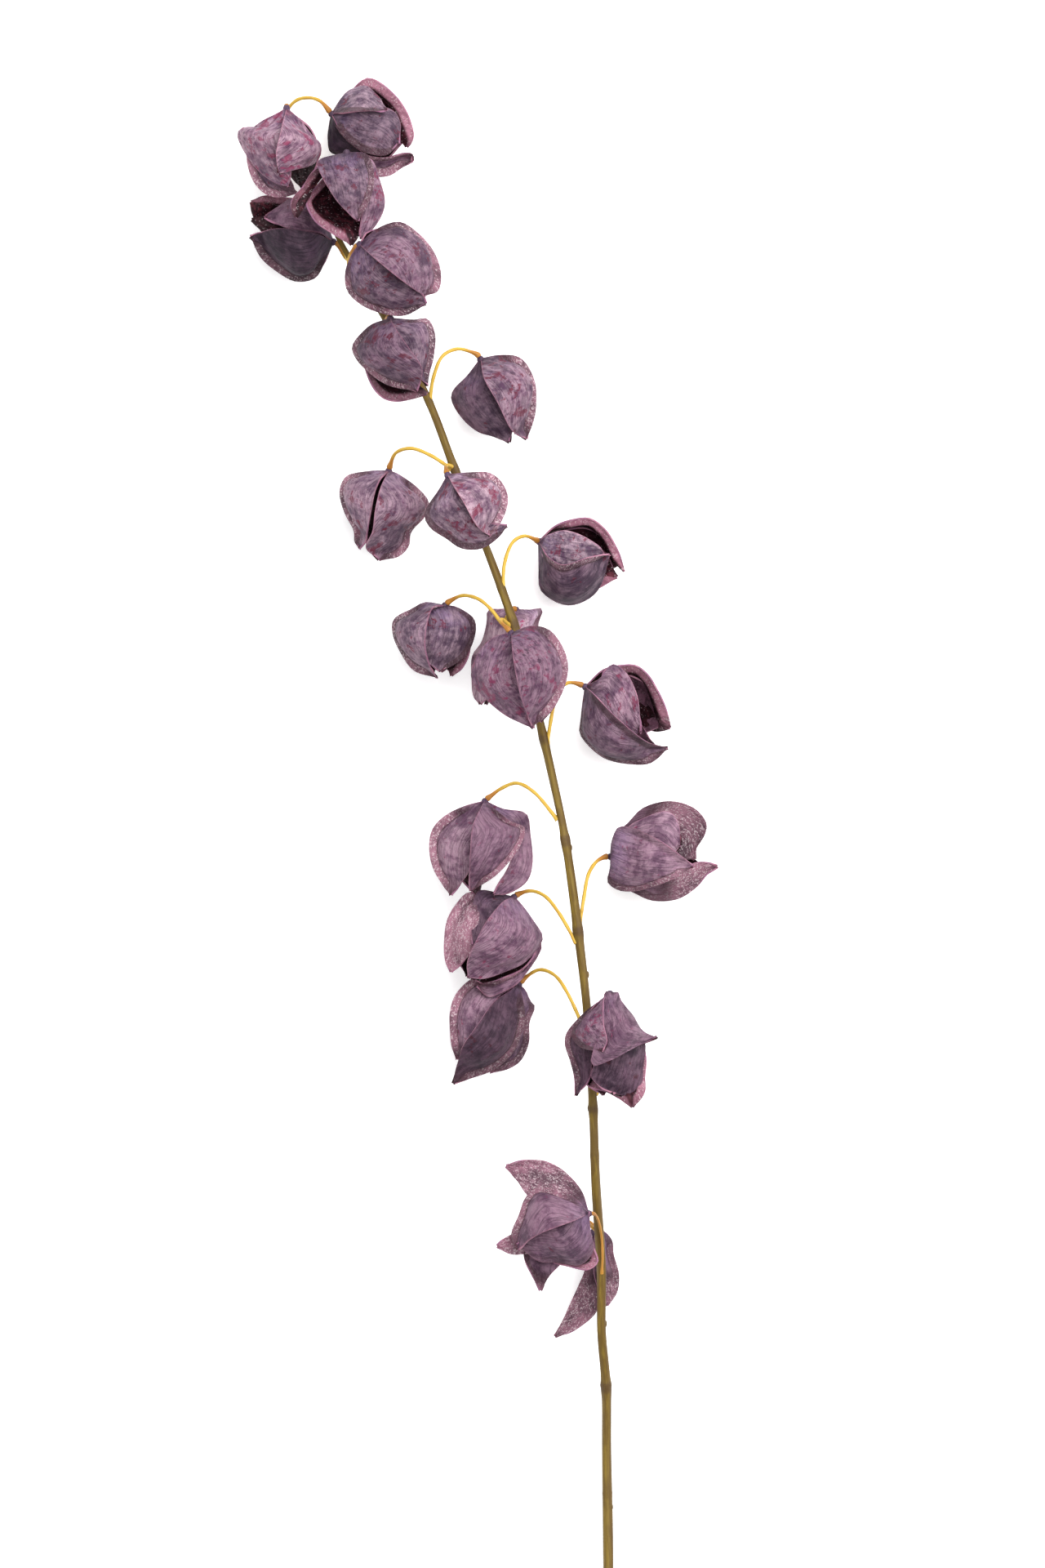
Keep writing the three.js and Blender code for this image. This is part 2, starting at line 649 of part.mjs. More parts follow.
        one: [[736, 1224, 0.5], [713, 1247, 0.2], [701, 1261, 0.2], [704, 1274, 0.5], [722, 1285, 0.9]],
        other: [[744, 1232, 0.8], [746, 1255, 0.85]],
        tip: [741, 1281, 0.9],
      },
      {
        one: [[714, 1240, -0.1], [693, 1264, -0.1], [691, 1278, -0.1], [698, 1300, -0.05], [704, 1322, 0]],
        other: [[728, 1262, 0.5], [725, 1295, 0.6], [721, 1318, 0.4]],
        tip: [705, 1340, 0.1],
      },
      {
        one: [[775, 1242, -0.1], [791, 1275, -0.05], [791, 1320, 0], [789, 1340, 0.05], [774, 1354, 0.2]],
        other: [[742, 1260, 0.7], [728, 1300, 0.8], [723, 1320, 0.75], [735, 1336, 0.7]],
        tip: [755, 1346, 0.6],
      },
      {
        one: [[722, 1245, -0.3], [706, 1285, -0.3], [715, 1325, -0.3]],
        other: [[760, 1250, -0.9], [760, 1310, -0.9]],
        tip: [738, 1340, -0.2],
      },
      {
        one: [[742, 1250, -0.72], [742, 1310, -0.72]],
        other: [[770, 1240, -0.3], [783, 1280, -0.3], [778, 1330, -0.3]],
        tip: [755, 1342, -0.1],
      },
    ],
  },
  {
    base: [722, 1485], mouth: [630, 1500], girth: 22, height: 56, rise: 0,
    route: [[737, 1560, 30], [742, 1540, 34], [741, 1512, 39], [735, 1492, 46], [728, 1486, 52]],
    petals: [
      {
        one: [[712, 1456, 0], [689, 1431, -0.1], [665, 1420, -0.1], [640, 1421, -0.05]],
        other: [[702, 1470, 0.4], [680, 1458, 0.4], [650, 1456, 0.35], [631, 1441, 0.2]],
        tip: [620, 1427, 0],
      },
      {
        one: [[706, 1467, 0.7], [680, 1459, 0.7], [652, 1458, 0.6], [641, 1471, 0.7], [630, 1499, 0.75]],
        other: [[700, 1494, 1.05], [670, 1503, 1.12], [645, 1516, 1.1]],
        tip: [623, 1527, 0.8],
      },
      {
        one: [[724, 1506, 0.4], [727, 1530, 0.3], [711, 1548, 0.4], [684, 1544, 0.7], [660, 1543, 0.9]],
        other: [[705, 1488, 0.85], [675, 1495, 0.88], [650, 1508, 0.85]],
        tip: [634, 1523, 0.85],
      },
      {
        one: [[655, 1515, 0.4], [636, 1534, 0.3], [648, 1555, 0.2]],
        other: [[700, 1522, 0.1], [690, 1545, 0.1], [678, 1560, 0.1]],
        tip: [661, 1584, 0.1],
      },
      {
        one: [[724, 1520, -0.3], [733, 1544, -0.2], [720, 1555, -0.1], [690, 1550, 0]],
        other: [[710, 1505, -0.85], [680, 1525, -0.7]],
        tip: [663, 1541, 0],
      },
      {
        one: [[695, 1470, -0.6], [650, 1480, -0.5], [624, 1508, -0.1]],
        other: [[690, 1515, -0.9], [650, 1525, -0.5]],
        tip: [610, 1527, 0],
      },
    ],
  },
  {
    base: [728, 1508], mouth: [712, 1625], girth: 17, height: 15, rise: 0,
    route: [[733, 1510, 33], [722, 1500, 28], [720, 1496, 20], [725, 1500, 16]],
    petals: [
      {
        one: [[721, 1530, 0.1], [716, 1556, 0], [698, 1599, -0.05]],
        other: [[735, 1540, 0.2], [733, 1585, 0.2], [731, 1607, 0.15], [708, 1628, 0.1]],
        tip: [680, 1638, 0],
      },
      {
        one: [[739, 1508, 0], [747, 1520, 0], [748, 1537, 0], [757, 1558, 0], [757, 1580, 0]],
        other: [[730, 1525, -0.4], [728, 1560, -0.5], [733, 1585, -0.3]],
        tip: [742, 1598, 0],
      },
      {
        one: [[736, 1530, -0.85], [745, 1570, -0.75], [735, 1600, -0.45]],
        other: [[718, 1550, -0.5], [705, 1595, -0.5]],
        tip: [705, 1622, -0.3],
      },
    ],
  },
];

const COLOURS = {
  stem: { color: 0x8a7a3f, roughness: 0.55, metalness: 0 },
  pedicel: { color: 0xd9ad45, roughness: 0.45, metalness: 0 },
  lantern: { color: 0x7c6480, roughness: 0.85, metalness: 0 },
};

function onPlan([x, y]) {
  return new THREE.Vector2((x - PLAN_CENTRE.x) * MM_PER_PIXEL, (PLAN_CENTRE.y - y) * MM_PER_PIXEL);
}

function atHeight(xy, height) {
  const plan = onPlan(xy);
  return new THREE.Vector3(plan.x, plan.y, height);
}

function smoothCurve(points) {
  return new THREE.CatmullRomCurve3(points, false, 'centripetal');
}

// Turns a closed triangle mesh into a solid, with its faces outwards.
function toSolid(geometry) {
  const bare = geometry.index ? geometry : geometry.clone();
  bare.deleteAttribute('normal');
  bare.deleteAttribute('uv');
  const merged = mergeVertices(bare, 1e-4);
  const positions = merged.getAttribute('position').array;
  let corners = Array.from(merged.index.array);
  if (signedVolume(positions, corners) < 0) corners = flipped(corners);
  const vertProperties = Float32Array.from(positions);
  const triVerts = Uint32Array.from(corners);
  return new wasm.Manifold(new wasm.Mesh({ numProp: 3, vertProperties, triVerts }));
}

function signedVolume(positions, corners) {
  const [a, b, c] = [new THREE.Vector3(), new THREE.Vector3(), new THREE.Vector3()];
  let volume = 0;
  for (let i = 0; i < corners.length; i += 3) {
    a.fromArray(positions, 3 * corners[i]);
    b.fromArray(positions, 3 * corners[i + 1]);
    c.fromArray(positions, 3 * corners[i + 2]);
    volume += a.dot(b.cross(c)) / 6;
  }
  return volume;
}

function flipped(corners) {
  const turned = [];
  for (let i = 0; i < corners.length; i += 3) turned.push(corners[i], corners[i + 2], corners[i + 1]);
  return turned;
}

// The largest piece of a solid, so that no loose scrap stays after a cut.
function largestPiece(solid) {
  const pieces = solid.decompose();
  return pieces.reduce((best, piece) => (piece.volume() > best.volume() ? piece : best));
}

function toMesh(name, solid, colours) {
  const found = solid.getMesh();
  const geometry = new THREE.BufferGeometry();
  geometry.setAttribute('position', new THREE.BufferAttribute(Float32Array.from(found.vertProperties), 3));
  geometry.setIndex(Array.from(found.triVerts));
  geometry.computeVertexNormals();
  const mesh = new THREE.Mesh(geometry, new THREE.MeshStandardMaterial(colours));
  mesh.name = name;
  return mesh;
}

// A closed skin through rings of points, with a fan over each end. All rings have the same number of points.
function skinRings(rings) {
  const sides = rings[0].length;
  const positions = rings.flat().flatMap((p) => [p.x, p.y, p.z]);
  const corners = [];
  for (let r = 0; r + 1 < rings.length; r += 1) {
    for (let s = 0; s < sides; s += 1) {
      const a = r * sides + s;
      const b = r * sides + ((s + 1) % sides);
      corners.push(a, b, a + sides, b, b + sides, a + sides);
    }
  }
  const last = (rings.length - 1) * sides;
  for (let s = 1; s + 1 < sides; s += 1) {
    corners.push(0, s + 1, s);
    corners.push(last, last + s, last + s + 1);
  }
  const geometry = new THREE.BufferGeometry();
  geometry.setAttribute('position', new THREE.Float32BufferAttribute(positions, 3));
  geometry.setIndex(corners);
  return geometry;
}

// A ring of the tube's section, with one flat side down.
function sectionRing(centre, tangent, radius, sides) {
  const side = new THREE.Vector3().crossVectors(tangent, new THREE.Vector3(0, 0, 1)).normalize();
  const up = new THREE.Vector3().crossVectors(side, tangent).normalize();
  const ring = [];
  for (let s = 0; s < sides; s += 1) {
    const angle = (2 * Math.PI * (s + 0.5)) / sides;
    const reach = side.clone().multiplyScalar(Math.sin(angle)).addScaledVector(up, -Math.cos(angle));
    ring.push(centre.clone().addScaledVector(reach, radius));
  }
  return ring;
}

// Stem

const stemCurve = smoothCurve(STEM_PATH.map((knot) => atHeight(knot.at, knot.height)));

// Radius of the stem at a height y of the plan: straight between the knots, thicker at each joint.
function stemRadius(planY) {
  const knots = STEM_PATH.map((knot) => ({ y: onPlan(knot.at).y, radius: knot.radius }));
  const next = Math.max(1, knots.findIndex((knot) => knot.y >= planY));
  const [low, high] = [knots[next - 1], knots[next]];
  const share = THREE.MathUtils.clamp((planY - low.y) / (high.y - low.y), 0, 1);
  const plain = THREE.MathUtils.lerp(low.radius, high.radius, share);
  const swell = STEM_JOINTS.reduce((sum, joint) => {
    const away = (planY - onPlan([0, joint.y]).y) / joint.length;
    return sum + joint.swell * Math.exp(-away * away);
  }, 0);
  return plain + swell;
}

// The share of the stem's length at which it reaches a height y of the plan.
function stationAt(planY) {
  let [low, high] = [0, 1];
  while (high - low > 1e-4) {
    const middle = (low + high) / 2;
    if (stemCurve.getPointAt(middle).y < planY) low = middle;
    else high = middle;
  }
  return low;
}

// Stations along the stem: an even step, and three more at each joint.
function stemStations() {
  const length = stemCurve.getLength();
  const steps = Math.ceil(length / STEM_STEP);
  const stations = Array.from({ length: steps + 1 }, (_, i) => Math.min(1, (i * STEM_STEP) / length));
  for (const joint of STEM_JOINTS) {
    const station = stationAt(onPlan([0, joint.y]).y);
    const reach = joint.length / length;
    stations.push(station - reach, station, station + reach);
  }
  stations.sort((a, b) => a - b);
  return stations.filter((station, i) => i === 0 || (station - stations[i - 1]) * length > 1);
}

function stemSolid(extra) {
  const rings = stemStations().map((station) => {
    const centre = stemCurve.getPointAt(station);
    centre.z = Math.max(centre.z, STEM_FOOT_HEIGHT);
    return sectionRing(centre, stemCurve.getTangentAt(station), stemRadius(centre.y) + extra, STEM_SIDES);
  });
  return toSolid(skinRings(rings));
}

// A small scar stub on one side of the stem.
function nubSolid(nub) {
  const bud = new THREE.SphereGeometry(NUB_RADIUS, 6, 4);
  bud.scale(1, NUB_STRETCH, 1);
  const centre = stemCurve.getPointAt(stationAt(onPlan(nub.at).y));
  bud.translate(centre.x + nub.side * NUB_REACH, centre.y, centre.z);
  return toSolid(bud);
}

// Pedicels

// The pedicel swells at its end, and a fatter copy of it cuts its own way into the hub.
function pedicelSolid(lantern, extra) {
  const curve = smoothCurve([...lantern.route.map(([x, y, height]) => atHeight([x, y], height)), baseOf(lantern)]);
  const whole = curve.getLength();
  const length = whole - PEDICEL_SEAT;
  const steps = Math.max(6, Math.ceil(length / PEDICEL_STEP));
  const frames = curve.computeFrenetFrames(steps, false);
  const rings = [];
  for (let i = 0; i <= steps; i += 1) {
    const station = ((length / whole) * i) / steps;
    const left = length * (1 - i / steps);
    const swell = Math.exp(-((left / SWELL_LENGTH) ** 2));
    const radius = THREE.MathUtils.lerp(PEDICEL_RADIUS, SWELL_RADIUS, swell) + extra;
    const centre = curve.getPointAt(station);
    if (i === steps) centre.addScaledVector(frames.tangents[i], extra);
    const ring = [];
    for (let s = 0; s < PEDICEL_SIDES; s += 1) {
      const angle = (2 * Math.PI * s) / PEDICEL_SIDES;
      ring.push(centre.clone()
        .addScaledVector(frames.normals[i], radius * Math.cos(angle))
        .addScaledVector(frames.binormals[i], radius * Math.sin(angle)));
    }
    rings.push(ring);
  }
  return toSolid(skinRings(rings));
}

// Lanterns

function globeOf(lantern) {
  const base = onPlan(lantern.base);
  const mouth = onPlan(lantern.mouth);
  const along = mouth.clone().sub(base);
  const half = along.length() / 2;
  along.normalize();
  const across = new THREE.Vector2(-along.y, along.x);
  return { ...lantern, half, along, across, middle: base.add(mouth).multiplyScalar(0.5) };
}

// A point of the lantern, from its place on the plan and the side of the globe that it is on.
function onGlobe(globe, [x, y, face]) {
  const plan = onPlan([x, y]);
  const offset = plan.clone().sub(globe.middle);
  const a = offset.dot(globe.along);
  const c = offset.dot(globe.across);
  const filled = 1 - (c / globe.girth) ** 2 - (a / (GLOBE_STRETCH * globe.half)) ** 2;
  const depth = globe.girth * Math.sqrt(Math.max(filled, LEAST_DEPTH));
  return new THREE.Vector3(plan.x, plan.y, globe.height + (globe.rise * a) / (2 * globe.half) + face * depth);
}

// The point of the lantern's axis that lies beside a given point.
function onAxis(globe, point) {
  const a = new THREE.Vector2(point.x, point.y).sub(globe.middle).dot(globe.along);
  const plan = globe.middle.clone().addScaledVector(globe.along, a);
  return new THREE.Vector3(plan.x, plan.y, globe.height + (globe.rise * a) / (2 * globe.half));
}

function baseOf(lantern) {
  return onGlobe(globeOf(lantern), [...lantern.base, 0]);
}

// One edge of a petal, from the hub to the tip.
function petalEdge(globe, points, tip) {
  const base = onGlobe(globe, [...globe.base, 0]);
  const places = points.map((point) => onGlobe(globe, point));
  const start = base.clone().addScaledVector(places[0].clone().sub(base).normalize(), ROOT_REACH);
  return smoothCurve([start, ...places, tip]);
}

// A petal's outer face as rows of points. Each row is an arc of the globe's section from one edge to the other.
function petalRows(globe, petal) {
  const tip = onGlobe(globe, petal.tip);
  const spread = onGlobe(globe, petal.other.at(-1)).sub(onGlobe(globe, petal.one.at(-1))).normalize();
  const one = petalEdge(globe, petal.one, tip.clone().addScaledVector(spread, -TIP_HALF_WIDTH));
  const other = petalEdge(globe, petal.other, tip.clone().addScaledVector(spread, TIP_HALF_WIDTH));
  const facing = new THREE.Vector3();
  for (const point of [...petal.one, ...petal.other]) {
    const place = onGlobe(globe, point);
    facing.add(place.clone().sub(onAxis(globe, place)));
  }
  facing.normalize();
  const rows = [];
  for (let r = 0; r <= PETAL_ROWS; r += 1) {
    const from = one.getPointAt(r / PETAL_ROWS);
    const to = other.getPointAt(r / PETAL_ROWS);
    const middle = from.clone().add(to).multiplyScalar(0.5);
    const chord = to.clone().sub(from);
    const halfChord = chord.length() / 2;
    chord.normalize();
    const outward = middle.clone().sub(onAxis(globe, middle)).addScaledVector(facing, FACING_SHARE * globe.girth);
    outward.addScaledVector(chord, -outward.dot(chord)).normalize();
    const radius = Math.max(globe.girth, WIDEST_ARC * halfChord);
    const halfAngle = Math.asin(halfChord / radius);
    const row = [];
    for (let c = 0; c <= PETAL_COLUMNS; c += 1) {
      const angle = halfAngle * ((2 * c) / PETAL_COLUMNS - 1);
      row.push(middle.clone()
        .addScaledVector(chord, radius * Math.sin(angle))
        .addScaledVector(outward, radius * (Math.cos(angle) - Math.cos(halfAngle))));
    }
    rows.push(row);
  }
  return { rows, facing };
}

// Gives the rows a thickness inwards and closes the rim round them.
function petalSolid(globe, petal) {
  const { rows, facing } = petalRows(globe, petal);
  const normals = rows.map((row, r) => row.map((_, c) => {
    const up = rows[Math.min(r + 1, PETAL_ROWS)][c].clone().sub(rows[Math.max(r - 1, 0)][c]);
    const over = row[Math.min(c + 1, PETAL_COLUMNS)].clone().sub(row[Math.max(c - 1, 0)]);
    return up.cross(over).normalize();
  }));
  const outwards = Math.sign(normals.flat().reduce((sum, normal) => sum + normal.dot(facing), 0));
  const inner = rows.map((row, r) => row.map((point, c) => (
    point.clone().addScaledVector(normals[r][c], -outwards * PETAL_THICKNESS)
  )));
  const columns = PETAL_COLUMNS + 1;
  const count = columns * (PETAL_ROWS + 1);
  const positions = [...rows.flat(), ...inner.flat()].flatMap((p) => [p.x, p.y, p.z]);
  const corners = [];
  for (let r = 0; r < PETAL_ROWS; r += 1) {
    for (let c = 0; c < PETAL_COLUMNS; c += 1) {
      const a = r * columns + c;
      corners.push(a, a + 1, a + columns, a + 1, a + columns + 1, a + columns);
      corners.push(count + a, count + a + columns, count + a + 1);
      corners.push(count + a + 1, count + a + columns, count + a + columns + 1);
    }
  }
  const rim = [];
  for (let c = 0; c < PETAL_COLUMNS; c += 1) rim.push(c);
  for (let r = 0; r < PETAL_ROWS; r += 1) rim.push(r * columns + PETAL_COLUMNS);
  for (let c = PETAL_COLUMNS; c > 0; c -= 1) rim.push(PETAL_ROWS * columns + c);
  for (let r = PETAL_ROWS; r > 0; r -= 1) rim.push(r * columns);
  rim.forEach((a, i) => {
    const b = rim[(i + 1) % rim.length];
    corners.push(b, a, count + a, b, count + a, count + b);
  });
  const geometry = new THREE.BufferGeometry();
  geometry.setAttribute('position', new THREE.Float32BufferAttribute(positions, 3));
  geometry.setIndex(corners);
  return toSolid(geometry);
}

// The small hub that the petals and the pedicel meet at, along the lantern's axis.
function hubSolid(globe) {
  const half = HUB_LENGTH / 2;
  const end = HUB_END_SHARE * HUB_RADIUS;
  const profile = [[0, -half], [end, -half], [HUB_RADIUS, 0], [end, half], [0, half]];
  const hub = new THREE.LatheGeometry(profile.map(([x, y]) => new THREE.Vector2(x, y)), HUB_SIDES);
  const base = onGlobe(globe, [...globe.base, 0]);
  const axis = onGlobe(globe, [...globe.mouth, 0]).sub(base).normalize();
  hub.applyQuaternion(new THREE.Quaternion().setFromUnitVectors(new THREE.Vector3(0, 1, 0), axis));
  hub.translate(base.x + axis.x, base.y + axis.y, base.z + axis.z);
  return toSolid(hub);
}

function lanternSolid(lantern) {
  const globe = globeOf(lantern);
  const petals = lantern.petals.map((petal) => petalSolid(globe, petal));
  const whole = wasm.Manifold.union([hubSolid(globe), ...petals]);
  return largestPiece(whole.subtract(pedicelSolid(lantern, CLEARANCE)));
}

// Cuts off what a lantern would press into the surface, which leaves it a small flat spot to rest on.
function restOnSurface(solid) {
  const box = solid.boundingBox();
  const floor = new THREE.BoxGeometry(FLOOR_SIZE, FLOOR_SIZE, FLOOR_SIZE);
  floor.translate((box.min[0] + box.max[0]) / 2, (box.min[1] + box.max[1]) / 2, -FLOOR_SIZE / 2);
  return largestPiece(solid.subtract(toSolid(floor)));
}

function buildGroup() {
  const group = new THREE.Group();
  const fatStem = stemSolid(CLEARANCE);
  const stem = wasm.Manifold.union([stemSolid(0), ...STEM_NUBS.map(nubSolid)]);
  group.add(toMesh('stem', stem, COLOURS.stem));
  LANTERNS.forEach((lantern, i) => {
    const number = String(i + 1).padStart(2, '0');
    const pedicel = largestPiece(pedicelSolid(lantern, 0).subtract(fatStem));
    let bloom = lanternSolid(lantern);
    if (lantern.rests) bloom = restOnSurface(bloom);
    group.add(toMesh(`pedicel_${number}`, pedicel, COLOURS.pedicel));
    group.add(toMesh(`lantern_${number}`, bloom, COLOURS.lantern));
  });
  const box = new THREE.Box3().setFromObject(group);
  const middle = box.getCenter(new THREE.Vector3());
  group.position.set(-middle.x, -middle.y, -box.min.z);
  return group;
}

export default buildGroup();
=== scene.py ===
"""A cut physalis spray: its coated stem, its thin hooked stalks and its lanterns of cupped petals."""

import math
from types import SimpleNamespace

import bpy
import numpy as np
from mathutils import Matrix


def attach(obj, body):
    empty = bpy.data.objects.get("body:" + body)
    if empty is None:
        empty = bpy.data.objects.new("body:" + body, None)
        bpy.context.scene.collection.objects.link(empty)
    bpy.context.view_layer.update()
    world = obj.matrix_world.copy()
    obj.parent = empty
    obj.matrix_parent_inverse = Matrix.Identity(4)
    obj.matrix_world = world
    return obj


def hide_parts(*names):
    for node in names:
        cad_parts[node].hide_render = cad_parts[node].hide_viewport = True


bl_info = {
    "name": "Physalis spray",
    "version": (1, 0, 0),
    "blender": (4, 5, 0),
    "location": "3D View > Sidebar > Spray",
    "description": "Builds a cut spray of purple physalis lanterns that lies on a pale floor",
    "category": "Add Mesh",
}

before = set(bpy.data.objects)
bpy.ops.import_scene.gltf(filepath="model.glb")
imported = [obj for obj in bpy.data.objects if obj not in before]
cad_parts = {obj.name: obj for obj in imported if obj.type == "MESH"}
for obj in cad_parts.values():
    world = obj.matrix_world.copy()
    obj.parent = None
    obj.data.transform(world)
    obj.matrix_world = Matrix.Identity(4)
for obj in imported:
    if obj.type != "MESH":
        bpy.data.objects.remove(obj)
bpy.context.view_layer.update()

MM = 0.001
# The photograph's size in pixels, its scale, and its middle's way to the frame's origin in millimetres.
IMAGE_SIZE = np.array([1280.0, 1920.0])
MM_PER_PIXEL = 0.45
PLAN_CENTRE = IMAGE_SIZE / 2
PART_SHIFT = np.array([24.441162, 115.733810, 0.0])
CURVE_STEPS = 48  # points on each span of a curve
STEM_FOOT_HEIGHT = 2.45  # of the stem's middle, where it lies on the floor

# Petals, with lengths in millimetres.
GLOBE_STRETCH = 1.15  # the globe's length over the distance from base to mouth
LEAST_DEPTH = 0.08  # holds places beyond the globe's outline a little off its axis
FACING_SHARE = 0.4  # how far a whole petal bulges one way instead of away from the axis
WIDEST_ARC = 1.05  # least radius of a row's arc over half its chord
ROOT_REACH = 1.4  # from the lantern's base to a petal's root
TIP_HALF_WIDTH = 0.7
TIP_START, TIP_ROUNDING = 0.93, 0.97  # share of the length where a tip starts to close, and how far it does
MARGIN_SHARE = 0.36  # widest margin over a row's width
LEAST_FLARE, FLARE_SPAN = 0.9, 0.8  # flare from which a margin looks woven, and the span to a full one
# Half waves of the seven kinds of dents, across and along a petal, and how much weaker each kind is.
DENT_WAVES = np.array([[1, 2], [2, 1], [3, 2], [2, 4], [4, 5], [6, 3], [5, 7]])
DENT_FADING = 0.35
RIM_BULGE = 0.16
PATTERN_SHIFT = 37.0  # from one petal's pattern to the next one's
# A lantern's hub: place along the axis and radius.
HUB_PROFILE = np.array(
    [(-1.3, 0.7), (-1.1, 1.2), (-0.6, 1.6), (0, 1.9), (0.8, 2.1), (1.8, 2.0), (2.8, 1.5), (3.2, 0.7)]
)
HUB_SIDES = 20
OUTSIDE, INSIDE, RIM = 0, 1, 2

# The floor and the lamps: name, place, size and share of the key lamp's power.
FLOOR_HALF, FLOOR_LEVEL = 6.0, -0.5 * MM
LAMPS = [("key lamp", (2.1, 2.2, 4.7), 6.0, 1.0), ("fill lamp", (-3.2, -0.8, 4.4), 4.0, 0.1)]
LAMP_TARGET = np.array([0.0, 0.05, 0.03])
SCALE_LEVEL = 0.04  # height at which the picture has the photograph's scale

# The stem's way over the plan, from its cut end: place in the photograph's pixels, height and radius.
STEM_PATH = [
    (748, 2330, 2.45, 2.65),
    (746, 2100, 2.45, 2.65),
    (745.5, 1920, 2.45, 2.65),
    (743.5, 1784, 4, 2.6),
    (743, 1701, 11, 2.6),
    (737, 1630, 20, 2.55),
    (736.5, 1554, 29, 2.5),
    (730, 1450, 38, 2.5),
    (726.5, 1360, 43, 2.45),
    (719, 1236, 45, 2.4),
    (709, 1147, 46, 2.4),
    (692.6, 1030, 47, 2.35),
    (675.7, 947, 47, 2.3),
    (650, 838, 47, 2.3),
    (627, 758, 46, 2.25),
    (597.5, 676, 44, 2.2),
    (557.5, 576, 41, 2.2),
    (523.6, 488, 38, 2.1),
    (480, 404, 36, 1.9),
    (437, 330, 34, 1.7),
    (415, 292, 31, 1.5),
    (385, 225, 22, 1.2),
]
# Where the stem has a joint, how far it swells there and over what length.
STEM_JOINTS = [
    (1832, 0.12, 1.0),
    (1701, 0.45, 5),
    (1697, 0.3, 1.2),
    (1414, 0.2, 2.5),
    (1358, 0.4, 4),
    (1245, 0.2, 3),
    (1140, 0.5, 5),
    (1031, 0.5, 5),
    (1026, 0.25, 1.2),
    (905, 0.4, 5),
    (765, 0.5, 5),
    (720, 0.15, 2.5),
    (576, 0.45, 5),
    (490, 0.2, 3),
]
# Small scar stubs: place in the photograph and side of the stem, and how far out all of them stand.
STEM_NUBS = [(703, 1037, 1), (719, 1195, 1), (720, 1358, -1), (742, 1621, 1), (749, 1850, 1)]
NUB_OFFSET = 1.9

